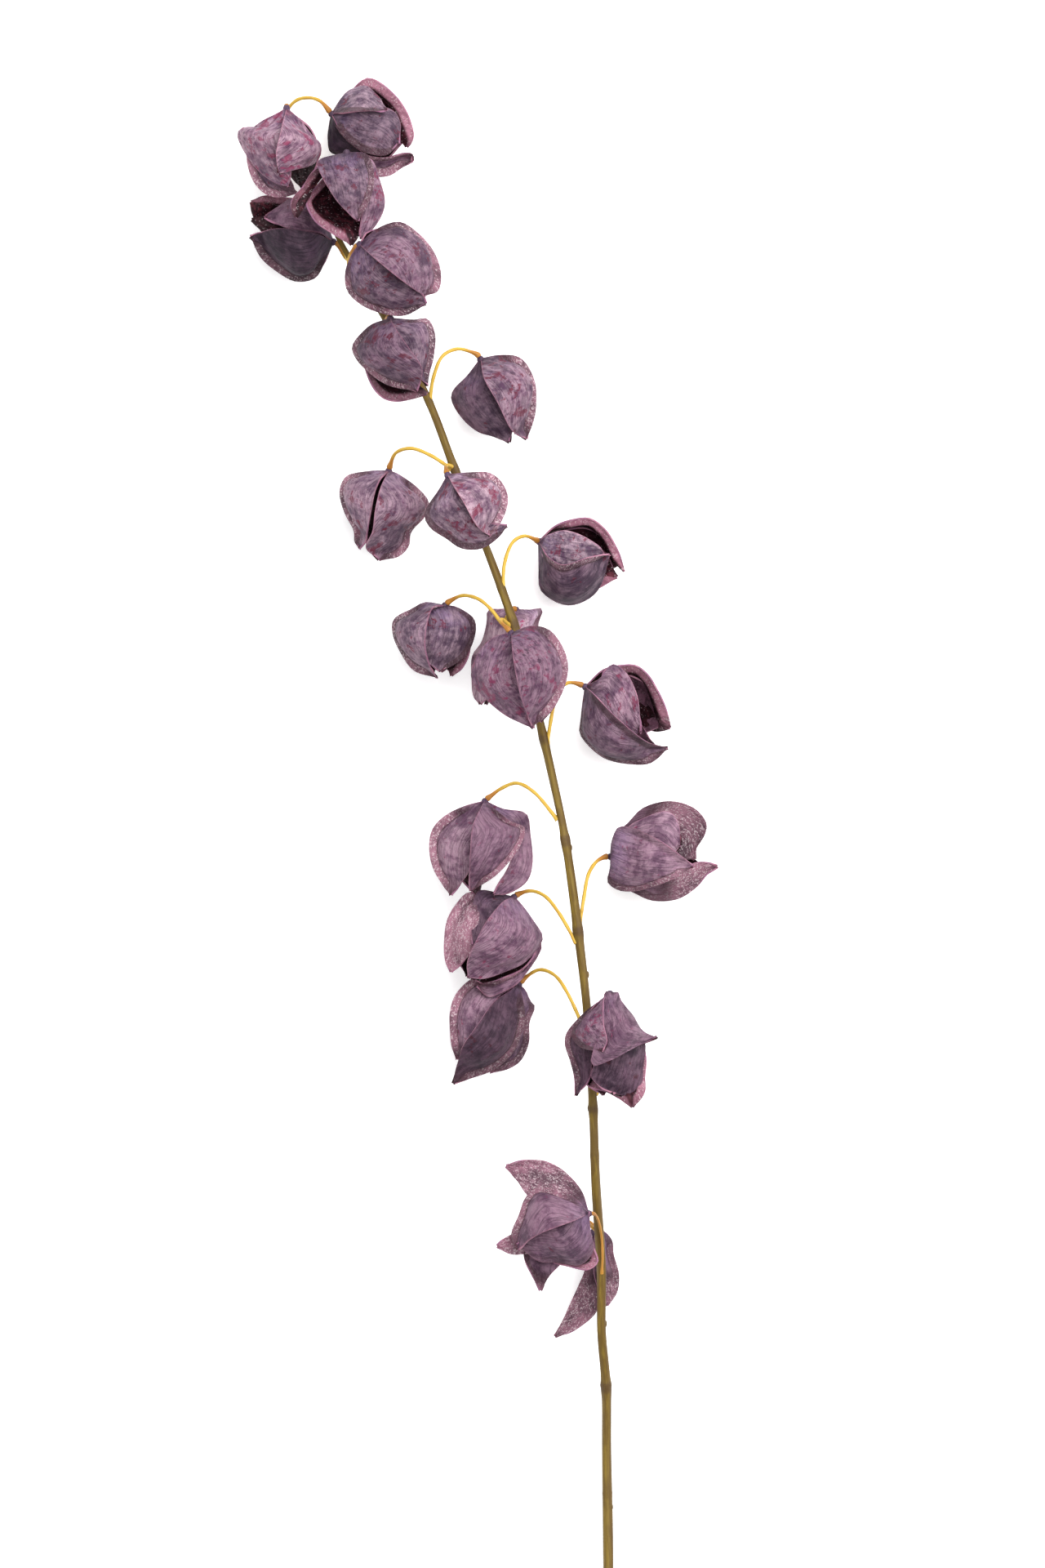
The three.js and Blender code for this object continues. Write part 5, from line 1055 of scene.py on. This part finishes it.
class Shader:
    """A material under construction."""

    def __init__(self, name):
        self.material = bpy.data.materials.new(name)
        self.material.use_nodes = True
        self.tree = self.material.node_tree
        self.tree.nodes.clear()

    def put(self, socket, value):
        """Links a socket to an output, or sets its value."""
        if isinstance(value, Socket):
            self.tree.links.new(value.output, socket)
        elif socket.type == "RGBA" and len(value) == 3:
            socket.default_value = (*value, 1)
        else:
            socket.default_value = value

    def node(self, kind, settings=None, inputs=None, output=0):
        """Adds a node: its settings first, then the values or links of its sockets."""
        made = self.tree.nodes.new("ShaderNode" + kind)
        for name, value in (settings or {}).items():
            setattr(made, name, value)
        for name, value in (inputs or {}).items():
            self.put(made.inputs[name], value)
        return Socket(self, made.outputs[output])

    def mix(self, first, second, share, blend="MIX"):
        """A colour between two colours."""
        settings = {"data_type": "RGBA", "blend_type": blend, "clamp_factor": True}
        return self.node("Mix", settings, {0: share, 6: first, 7: second}, 2)

    def scaled(self, vector, factors):
        """A vector times a factor for each axis."""
        return self.node("VectorMath", {"operation": "MULTIPLY"}, {0: vector, 1: factors})

    def coats(self, ground, *layers):
        """A ground under further coats, each given as a colour and the share of it that shows."""
        for colour, share in layers:
            ground = self.mix(ground, colour, share)
        return ground

    def darkened(self, ground, red, green, blue):
        """A colour times a factor for each of its three parts."""
        return self.mix(ground, self.node("CombineXYZ", {}, {0: red, 1: green, 2: blue}), 1.0, "MULTIPLY")

    def noise(self, vector, size, detail=3.0, roughness=0.5, distortion=0.0, stretch=None):
        """Noise whose features have the given size in metres. A stretch below 1 draws them out along that
        axis."""
        if stretch:
            vector = self.scaled(vector, stretch)
        values = {"Vector": vector, "Scale": 1 / size, "Detail": detail, "Roughness": roughness}
        return self.node("TexNoise", {}, {**values, "Distortion": distortion})

    def cells(self, vector, size, feature="F1"):
        """Distance from the middle of the nearest cell, or from its border."""
        return self.node("TexVoronoi", {"feature": feature}, {"Vector": vector, "Scale": 1 / size})

    def cell_colour(self, vector, size):
        """A colour that is random for each cell of the given size."""
        return self.node("TexVoronoi", {"feature": "F1"}, {"Vector": vector, "Scale": 1 / size}, 1)

    def attribute(self, name, output="Vector"):
        """A value of the piece's own points."""
        return self.node("Attribute", {"attribute_name": name}, {}, {"Vector": 1, "Value": 2}[output])

    def parts(self, vector):
        """A vector's three numbers."""
        return [self.node("SeparateXYZ", {}, {0: vector}, axis) for axis in range(3)]

    def finish(self, colour, roughness, height, relief, **sockets):
        """Closes the material with a principled shader whose bump is the height times the relief."""
        bump = self.node("Bump", {}, {"Strength": 1.0, "Distance": relief, "Height": height})
        values = {"Base Color": colour, "Roughness": roughness, "Normal": bump}
        values.update({name.replace("_", " "): value for name, value in sockets.items()})
        shade = self.node("BsdfPrincipled", {}, values)
        end = self.tree.nodes.new("ShaderNodeOutputMaterial")
        self.tree.links.new(shade.output, end.inputs["Surface"])
        return self.material


def petal_ground(shader):
    """What both faces of a petal read: the place on the sheet, the three finish values, how far the point
    belongs to the woven margin, and a value for each of its threads."""
    sheet = shader.attribute("sheet")
    pale, pink, blotch = shader.parts(shader.attribute("finish"))
    flange = shader.attribute("flange", "Value")
    thread = shader.parts(shader.cell_colour(sheet, 0.52 * MM))[0]
    return sheet, pale, pink, blotch, flange, thread


def petal_grain(shader, sheet):
    """The noises of a petal's outside, and the sheet's places shifted by two of them, for cells with
    crooked borders. Wrinkles are where a noise drawn out along the petal crosses its middle value."""
    grain = SimpleNamespace()
    grain.broad = shader.noise(sheet, 16 * MM, 2)
    grain.cloud = shader.noise(sheet, 6 * MM, 8, 0.64)
    grain.ragged = shader.noise(sheet, 1.9 * MM, 5, 0.68, stretch=(1, 0.9, 2.1))
    grain.fine = shader.noise(sheet, 0.55 * MM, 3, 0.6)
    grain.fibres = shader.noise(sheet, 0.6 * MM, 4, 0.65, stretch=(1, 0.1, 1))
    grain.mottle = shader.noise(sheet, 2.6 * MM, 4, 0.62, stretch=(1, 0.8, 1.37))
    grain.islands = shader.noise(sheet, 6.5 * MM, 8, 0.66)
    ribs = shader.noise(sheet, 2.6 * MM, 3, 0.5, 0.25, stretch=(1, 0.12, 1))
    grain.wrinkles = ribs.above(0.44, 0.5) * (1 - ribs.above(0.5, 0.56))
    shift = shader.scaled(grain.ragged + grain.mottle, (2.4 * MM,) * 3)
    grain.warped = shader.node("VectorMath", {"operation": "ADD"}, {0: sheet, 1: shift})
    return grain


def powdery_ground(shader, settings, grain, root, pale, pink, blotch):
    """Grey violet and mauve under a pale bloom, lilac near the root, fine pale veins, dark shadows and
    grit."""
    mauve = (grain.broad * 0.9 + grain.ragged * 0.3 + pink * 0.7).above(0.7, 1.3)
    bloom = (grain.cloud * 0.5 + grain.broad * 0.25 + grain.fine * 0.25 + pink * 0.08).above(0.42, 0.66)
    lilac = (1 - root.above(4 * MM, 24 * MM)) * grain.broad.above(0.35, 0.6)
    veins = 1 - shader.cells(grain.warped, 4.6 * MM, "DISTANCE_TO_EDGE").above(0.0, 0.07)
    shadow = (1 - grain.cloud * 0.6 - grain.broad * 0.4).above(0.46, 0.6)
    grit = (grain.ragged * 0.6 + grain.fine * 0.4).above(0.55, 0.64)
    return shader.coats(
        settings.grey_violet,
        (settings.mauve, mauve),
        (settings.powder, bloom * (0.52 + pale.above(0.7, 1.3) * 0.36)),
        (paint(108, 92, 132), lilac * 0.5),
        (settings.powder, (1 - grain.mottle).above(0.47, 0.6) * (0.12 + blotch * 0.36)),
        (settings.powder, veins * grain.fine.above(0.4, 0.6) * 0.2),
        (settings.violet, shadow * 0.48),
        (paint(70, 32, 66), grain.mottle.above(0.54, 0.65) * (0.14 + blotch * 0.4)),
        (settings.violet, grit * (0.2 + blotch * 0.32)),
    )


def stained_ground(shader, settings, ground, grain, stain, pink, blotch):
    """A ground with violet dabs in groups, dark wrinkles, whose dark is painted shade in their creases,
    crimson flecks and stains, and fibres from root to tip."""
    cell = 3.1 * MM
    luck = shader.parts(shader.cell_colour(grain.warped, cell))
    spots = luck[0] * 0.34 - shader.cells(grain.warped, cell) + grain.fine * 0.25 + blotch * 0.03
    groups = (grain.broad * 0.6 + grain.islands * 0.4).above(0.44, 0.56)
    dabs = spots.above(-0.02, 0.07) * luck[1].above(0.35, 0.6) * groups
    flecks = (grain.ragged * 0.7 + grain.fine * 0.3 + blotch * 0.06).above(0.6, 0.66)
    flecks = flecks * grain.broad.above(0.45, 0.62)
    stain_colour = shader.mix(settings.crimson, paint(130, 50, 84), pink.above(0.5, 1.1))
    return shader.coats(
        ground,
        (settings.violet, dabs * (0.2 + blotch * 0.45)),
        # Painted shade: the wrinkles' creases are darkened violet.
        (settings.violet, grain.wrinkles * 0.28),
        (stain_colour, flecks * 0.35),
        (stain_colour, stain * (0.5 + grain.ragged.above(0.35, 0.6) * 0.4)),
        (settings.violet, grain.fibres.above(0.48, 0.7) * 0.3),
    )


def woven_cloth(shader, settings, sheet, grain, thread, pink):
    """The margin's cloth: brownish and rosy patches with bright threads, whose brightest specks are painted
    glints of the glittery weave.
    """
    twill = shader.parts(shader.cell_colour(shader.scaled(sheet, (1, 0.45, 1)), 0.8 * MM))[1]
    rosy = (grain.broad * 1.2 + grain.cloud * 0.6 + twill * 0.2 + pink * 0.3).above(0.85, 1.45)
    glints = (thread * 0.7 + twill * 0.3).above(0.62, 0.8)
    return shader.coats(paint(84, 58, 68), (settings.rim, rosy * 0.85), (settings.glint, glints * 0.5))


def outside_material(settings):
    """Outside of a petal: a powdery, stained ground, dark at the foot and pink at the edges, and a woven
    margin behind a dark line. The pink at the edges is partly the cut sheet's own and partly a painted
    highlight, and the dark line along the margin's crease is painted shadow. The finish values make a petal
    paler, pinker and more blotched; how pale it is also paints light and shade on the whole petal."""
    shader = Shader("petal outside")
    sheet, pale, pink, blotch, flange, thread = petal_ground(shader)
    edge = shader.attribute("edge", "Value")
    root = shader.attribute("root", "Value")
    grain = petal_grain(shader, sheet)
    stain = (grain.islands + blotch * 0.115).above(0.655, 0.7)
    ground = powdery_ground(shader, settings, grain, root, pale, pink, blotch)
    ground = stained_ground(shader, settings, ground, grain, stain, pink, blotch)
    foot = 1 - root.above(1.5 * MM, 9 * MM)
    # Pink along the edges: partly the cut sheet's own pink, partly a painted highlight that makes the
    # outlines stand out.
    rim_pink_and_highlight = 1 - edge.above(0.15 * MM, 0.9 * MM)
    ground = shader.coats(ground, (settings.violet, foot * 0.6), (settings.rim, rim_pink_and_highlight * 0.42))
    # Painted light and shade: how pale a petal is darkens or lightens its whole outside, partly its own tone.
    ground = shader.darkened(ground, pale, pale.maths("POWER", pale, 1.14), pale)
    cloth = woven_cloth(shader, settings, sheet, grain, thread, pink)
    # The woven margin gets a milder share of the same painted light and shade.
    half = pale.maths("POWER", pale, 0.55)
    cloth = shader.darkened(cloth, half, half, half)
    # Painted shadow: a dark line in the lining's colour along the crease where the woven margin turns
    # outwards.
    painted_crease_shadow = flange * (1 - flange) * 3.2
    colour = shader.coats(ground, (cloth, flange * 0.8), (settings.lining, painted_crease_shadow * 0.85))
    height = grain.cloud * 0.35 + grain.ragged * 0.2 + grain.fine * 0.12 + grain.fibres * 0.25
    height = height - grain.wrinkles * 0.5 + thread * flange * 0.5
    roughness = 0.62 - stain * 0.08 + grain.fine * 0.1 - thread.above(0.8, 0.95) * flange * 0.25
    return shader.finish(colour, roughness, height, 0.5 * MM, Specular_IOR_Level=0.22)


def inside_material(settings):
    """Inside of a petal: dark maroon lining with redder patches and glints, lightened in patches to a lit
    purple-brown where the petal is very pink, which is painted light, and a pink flared margin."""
    shader = Shader("petal inside")
    sheet, pale, pink, _, flange, thread = petal_ground(shader)
    cloud = shader.noise(sheet, 4 * MM, 6, 0.6, 0.3)
    fibres = shader.noise(sheet, 0.9 * MM, 4, 0.6, stretch=(1, 0.15, 1))
    redness = (cloud * 0.7 + fibres * 0.3).above(0.44, 0.66) * (0.35 + pink.above(0.75, 1.0) * 0.65)
    # Painted light: on very pink petals the dark lining is lightened in patches to a lit purple-brown.
    painted_lit_lining = pink.above(1.0, 1.5) * cloud.above(0.2, 0.6)
    glints = thread.above(0.93, 0.99)
    margin = shader.coats(
        paint(132, 86, 102),
        (settings.rim, (cloud * 0.6 + fibres * 0.4).above(0.42, 0.6)),
        (settings.crimson, (cloud * 0.8 + thread * 0.2).above(0.54, 0.68) * 0.3),
        (settings.glint, thread.above(0.8, 0.95) * 0.3),
    )
    ground = shader.coats(
        settings.lining,
        (paint(110, 50, 62), redness),
        (settings.glint, glints * 0.3),
        (paint(112, 78, 96), painted_lit_lining * 0.85),
        (margin, flange * 0.95),
    )
    # Painted light and shade: how pale a petal is darkens or lightens its whole inside, partly its own tone.
    ground = shader.darkened(ground, pale, pale, pale)
    height = cloud * 0.4 + fibres * 0.3 + thread * 0.2
    return shader.finish(ground, 0.55 - glints * 0.2, height, 0.5 * MM, Specular_IOR_Level=0.15)


def rim_material(settings):
    """Cut edge of the sheet: pink with darker flecks."""
    shader = Shader("petal rim")
    sheet = shader.attribute("sheet")
    flecks = shader.noise(sheet, 1.3 * MM, 4, 0.6)
    patches = shader.noise(sheet, 7 * MM, 2)
    colour = shader.coats(
        settings.rim,
        (settings.mauve, 0.25 + patches.above(0.4, 0.6) * 0.6),
        (settings.crimson, flecks.above(0.52, 0.7) * 0.3),
    )
    return shader.finish(colour, 0.6 + flecks * 0.1, flecks, 0.3 * MM, Specular_IOR_Level=0.35)


def pedicel_material(settings):
    """Coated stalk: yellow with fine streaks and brown kinks, amber towards its swollen end."""
    shader = Shader("pedicel coat")
    sheet = shader.attribute("sheet")
    end = shader.attribute("end", "Value")
    streaks = shader.noise(sheet, 0.8 * MM, 4, 0.6, stretch=(1, 0.1, 1))
    kinks = shader.noise(sheet, 5 * MM, 5, 0.6, stretch=(0.3, 1, 1))
    brown = kinks.above(0.6, 0.7) * 0.55 + end.above(0.55, 1.0) * streaks.above(0.4, 0.6) * 0.5
    colour = shader.coats(
        settings.yellow,
        (settings.amber, streaks.above(0.45, 0.7) * 0.45),
        (settings.amber, end.above(0.08, 0.7)),
        (paint(120, 72, 28), brown),
    )
    height = streaks * 0.6 + kinks * 0.4
    return shader.finish(colour, 0.5 + streaks * 0.15, height, 0.3 * MM, Specular_IOR_Level=0.4)


def stem_material(settings):
    """Coated stem: olive with lengthwise streaks, light and brown patches, brown scars at its joints, and a
    brown painted shade on the side that turns right."""
    shader = Shader("stem coat")
    sheet = shader.attribute("sheet")
    joint = shader.attribute("joint", "Value")
    lee = shader.attribute("lee", "Value")
    streaks = shader.noise(sheet, 0.9 * MM, 5, 0.6, stretch=(1, 0.06, 1))
    patches = shader.noise(sheet, 9 * MM, 5, 0.6, 0.4, stretch=(1, 0.35, 1))
    specks = shader.noise(sheet, 0.9 * MM, 3, 0.6)
    colour = shader.coats(
        settings.coat,
        (settings.lit_coat, (streaks * 0.5 + patches * 0.5).above(0.44, 0.62)),
        (settings.scar, (patches * 0.7 + streaks * 0.3).above(0.56, 0.68) * 0.6),
        # Painted shade: the side of the stem that turns right is darkened brown.
        (settings.scar, lee * (0.3 + patches.above(0.4, 0.6) * 0.3)),
        (settings.scar, joint.above(0.1, 0.9) * (0.35 + specks * 0.6)),
        (settings.scar, specks.above(0.64, 0.72) * 0.45),
    )
    height = streaks * 0.5 + patches * 0.3 + specks * 0.2
    return shader.finish(colour, 0.48 + patches * 0.15, height, 0.4 * MM, Specular_IOR_Level=0.28)


# Pieces


def stem_shell(skin, centres, radii, sides):
    """The stem's skin: rings across the path, whose radius waves a little round the stem and along it. joint
    says how near a joint is, and lee marks the side that turns right, which the coat darkens as painted
    shade."""
    tangents = unit(np.gradient(centres, axis=0))
    side = unit(np.cross(tangents, [0.0, 0.0, 1.0]))
    phase = np.random.default_rng(4).uniform(0, 2 * np.pi, 3)
    angles = np.linspace(0, 2 * np.pi, sides, endpoint=False)
    travelled = running_length(centres)
    waves = [np.sin((k + 2) * angles + travelled[:, None] / (26 - 6 * k) + phase[k]) for k in range(3)]
    rounds = radii[:, None] * (1 + 0.035 * sum(waves))
    points, faces, around, row = tube(centres, rounds, sides, side, np.cross(side, tangents))
    marks = sum(
        np.exp(-(((centres[:, 1] - on_plan([0, y])[1]) / (0.5 * length + 0.4)) ** 2)) * min(1, swell * 2.4)
        for y, swell, length in STEM_JOINTS
    )
    sheet = np.column_stack([np.sin(around) * radii[row], travelled[row], np.cos(around) * radii[row]]) * MM
    # Painted shade: rises from the stem's middle to full strength at its right side.
    lee = smooth_step((points[:, 0] - centres[row, 0]) / radii[row], 0.05, 0.85)
    skin.add(points, faces, [0] * len(faces), sheet=sheet, joint=marks[row], lee=lee)


def nub_shell(skin, centres, nub, size):
    """A scar stub: a short tube along the stem's side, whose radius falls off as a half circle to both
    ends."""
    x, y, hand = nub
    beside = centres[np.argmin(abs(centres[:, 1] - on_plan([x, y])[1]))]
    reach = np.linspace(-1, 1, 13)
    way = np.column_stack([0.25 * hand * reach, 1.9 * size * reach, 0 * reach])
    line = beside + np.array([hand * NUB_OFFSET, 0, 0]) + way
    swell = size * np.sqrt(np.maximum(1 - reach**2, 0.02))
    _, first, second = tube_frames(line)
    points, faces, around, row = tube(line, swell[:, None], 16, first, second)
    sheet = np.column_stack([np.sin(around), reach[row] * 2 + y, np.cos(around)]) * MM
    # The same 0.6 marks the stub as near a joint and gives the whole stub some painted shade.
    spots = np.full(len(points), 0.6)
    skin.add(points, faces, [0] * len(faces), sheet=sheet, joint=spots, lee=spots)


class SPRAY_OT_stem(bpy.types.Operator):
    """Builds the coated stem with its joints and scar stubs"""

    bl_idname = "spray.stem"
    bl_label = "Stem"

    def execute(self, context):
        settings = context.scene.spray_stem
        centres, radii = stem_line(settings.step / MM)
        skin = Skin()
        stem_shell(skin, centres, radii, settings.sides)
        for nub in STEM_NUBS:
            nub_shell(skin, centres, nub, settings.nub_radius / MM)
        piece = skin.make("stem_coated", [stem_material(settings)])
        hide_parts("stem")
        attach(piece, "root")
        return {"FINISHED"}


def pedicel_shell(skin, lantern, number, settings):
    """A stalk's skin: a thin tube along its route, a little uneven, thicker at its root and swollen at its
    end by bells over the length. end says how near the swollen end is."""
    route = np.array(lantern["route"], float)
    knots = np.vstack([np.column_stack([on_plan(route[:, :2]), route[:, 2]]), Globe(lantern).base])
    curve = dense_curve(knots)
    length = curve[1][-1] - settings.seat / MM
    stations = np.linspace(0, length, max(24, int(length * MM / settings.step)) + 1)
    centres = along_curve(curve, stations)
    swell = np.exp(-(((length - stations) / (settings.swell_length / MM)) ** 2))
    wobble = 1 + 0.05 * np.sin(stations * 0.9 + number) + 0.04 * np.sin(stations * 0.37 + 2 * number)
    radii = settings.radius / MM * wobble * (1 - swell) + settings.swell_radius / MM * swell
    slimming, amber = THIN_STALKS.get(number, (1, 0))
    radii = slimming * radii * (1 + 0.5 * np.exp(-((stations / 3) ** 2)))
    radii[-1] *= 0.75
    _, first, second = tube_frames(centres)
    points, faces, around, row = tube(centres, radii[:, None], settings.sides, first, second)
    sheet = np.column_stack([np.sin(around), stations[row] + 31 * number, np.cos(around)]) * MM
    end = np.maximum(amber, np.exp(-(((length - stations) / 9) ** 2)))
    skin.add(points, faces, [0] * len(faces), sheet=sheet, end=end[row])


class SPRAY_OT_pedicels(bpy.types.Operator):
    """Builds the thin hooked stalks, each with its swollen amber end"""

    bl_idname = "spray.pedicels"
    bl_label = "Pedicels"

    def execute(self, context):
        settings = context.scene.spray_pedicels
        material = pedicel_material(settings)
        for number, lantern in enumerate(LANTERNS, 1):
            skin = Skin()
            pedicel_shell(skin, lantern, number, settings)
            piece = skin.make(f"pedicel_{number:02d}_coated", [material])
            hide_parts(f"pedicel_{number:02d}")
            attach(piece, "root")
        return {"FINISHED"}


class SPRAY_OT_lanterns(bpy.types.Operator):
    """Builds the lanterns of cupped petals, each fused round its hub"""

    bl_idname = "spray.lanterns"
    bl_label = "Lanterns"

    def execute(self, context):
        settings = context.scene.spray_lanterns
        materials = [outside_material(settings), inside_material(settings), rim_material(settings)]
        number = 0
        for index, lantern in enumerate(LANTERNS, 1):
            skin = Skin()
            globe = Globe(lantern)
            for petal in lantern["petals"]:
                number += 1
                petal_shell(skin, globe, petal, number)
            lantern_hub(skin, globe, number)
            piece = skin.make(f"lantern_{index:02d}_petals", materials)
            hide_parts(f"lantern_{index:02d}")
            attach(piece, "root")
        return {"FINISHED"}


class SPRAY_OT_stage(bpy.types.Operator):
    """Sets up the pale floor, the soft studio light and the camera that looks down on the spray"""

    bl_idname = "spray.stage"
    bl_label = "Stage"

    def execute(self, context):
        settings = context.scene.spray_stage
        mesh = bpy.data.meshes.new("floor")
        ends = ((-1, -1), (1, -1), (1, 1), (-1, 1))
        corners = [(FLOOR_HALF * x, FLOOR_HALF * y, FLOOR_LEVEL) for x, y in ends]
        mesh.from_pydata(corners, [], [(0, 1, 2, 3)])
        shader = Shader("pale floor")
        grain = shader.noise(shader.node("TexCoord", {}, {}, 3), 0.03, 3)
        tone = shader.mix(settings.floor, paint(246, 246, 246), grain.above(0.4, 0.6))
        # The floor glows: painted light that washes out the spray's soft shadows on it and lights the spray
        # from below.
        glow = {"Emission_Color": (1, 1, 1), "Emission_Strength": settings.glow}
        mesh.materials.append(
            shader.finish(tone, 0.85 + grain * 0.05, grain, 0.1 * MM, Specular_IOR_Level=0.2, **glow)
        )
        floor = bpy.data.objects.new("floor", mesh)
        context.scene.collection.objects.link(floor)

        world = bpy.data.worlds.new("studio")
        world.use_nodes = True
        background = world.node_tree.nodes["Background"]
        background.inputs["Color"].default_value = (1, 1, 1, 1)
        background.inputs["Strength"].default_value = settings.sky
        context.scene.world = world
        context.scene.view_settings.view_transform = "Standard"
        for name, place, size, share in LAMPS:
            lamp = bpy.data.lights.new(name, "AREA")
            lamp.shape = "SQUARE"
            lamp.size = size
            lamp.energy = settings.key * share
            holder = bpy.data.objects.new(name, lamp)
            context.scene.collection.objects.link(holder)
            away = np.array(place) - LAMP_TARGET
            holder.location = place
            tilt = math.atan2(math.hypot(away[0], away[1]), away[2])
            holder.rotation_euler = (tilt, 0, math.atan2(away[0], -away[1]))

        camera = bpy.data.cameras.new("camera")
        camera.sensor_width = 36
        camera.lens = camera.sensor_width * settings.distance / (IMAGE_SIZE[1] * MM_PER_PIXEL * MM)
        camera.clip_end = 100
        holder = bpy.data.objects.new("camera", camera)
        holder.location = (PART_SHIFT[0] * MM, PART_SHIFT[1] * MM, settings.distance + SCALE_LEVEL)
        context.scene.collection.objects.link(holder)
        context.scene.camera = holder
        return {"FINISHED"}


class SPRAY_PT_panel(bpy.types.Panel):
    """Lists the spray's pieces in the sidebar"""

    bl_label = "Physalis spray"
    bl_idname = "SPRAY_PT_panel"
    bl_space_type = "VIEW_3D"
    bl_region_type = "UI"
    bl_category = "Spray"

    def draw(self, context):
        for operator in OPERATORS:
            self.layout.operator(operator.bl_idname)


OPERATORS = (SPRAY_OT_stem, SPRAY_OT_pedicels, SPRAY_OT_lanterns, SPRAY_OT_stage)
GROUPS = {
    "spray_stem": StemSettings,
    "spray_pedicels": PedicelSettings,
    "spray_lanterns": LanternSettings,
    "spray_stage": StageSettings,
}


def register():
    """Registers the settings, the operators and the panel."""
    for name, group in GROUPS.items():
        bpy.utils.register_class(group)
        setattr(bpy.types.Scene, name, bpy.props.PointerProperty(type=group))
    for kind in (*OPERATORS, SPRAY_PT_panel):
        bpy.utils.register_class(kind)


def unregister():
    """Takes back what register added."""
    for kind in (SPRAY_PT_panel, *reversed(OPERATORS)):
        bpy.utils.unregister_class(kind)
    for name, group in reversed(GROUPS.items()):
        delattr(bpy.types.Scene, name)
        bpy.utils.unregister_class(group)


def main():
    register()
    bpy.ops.spray.stem()
    bpy.ops.spray.pedicels()
    bpy.ops.spray.lanterns()
    bpy.ops.spray.stage()


if __name__ == "__main__":
    main()
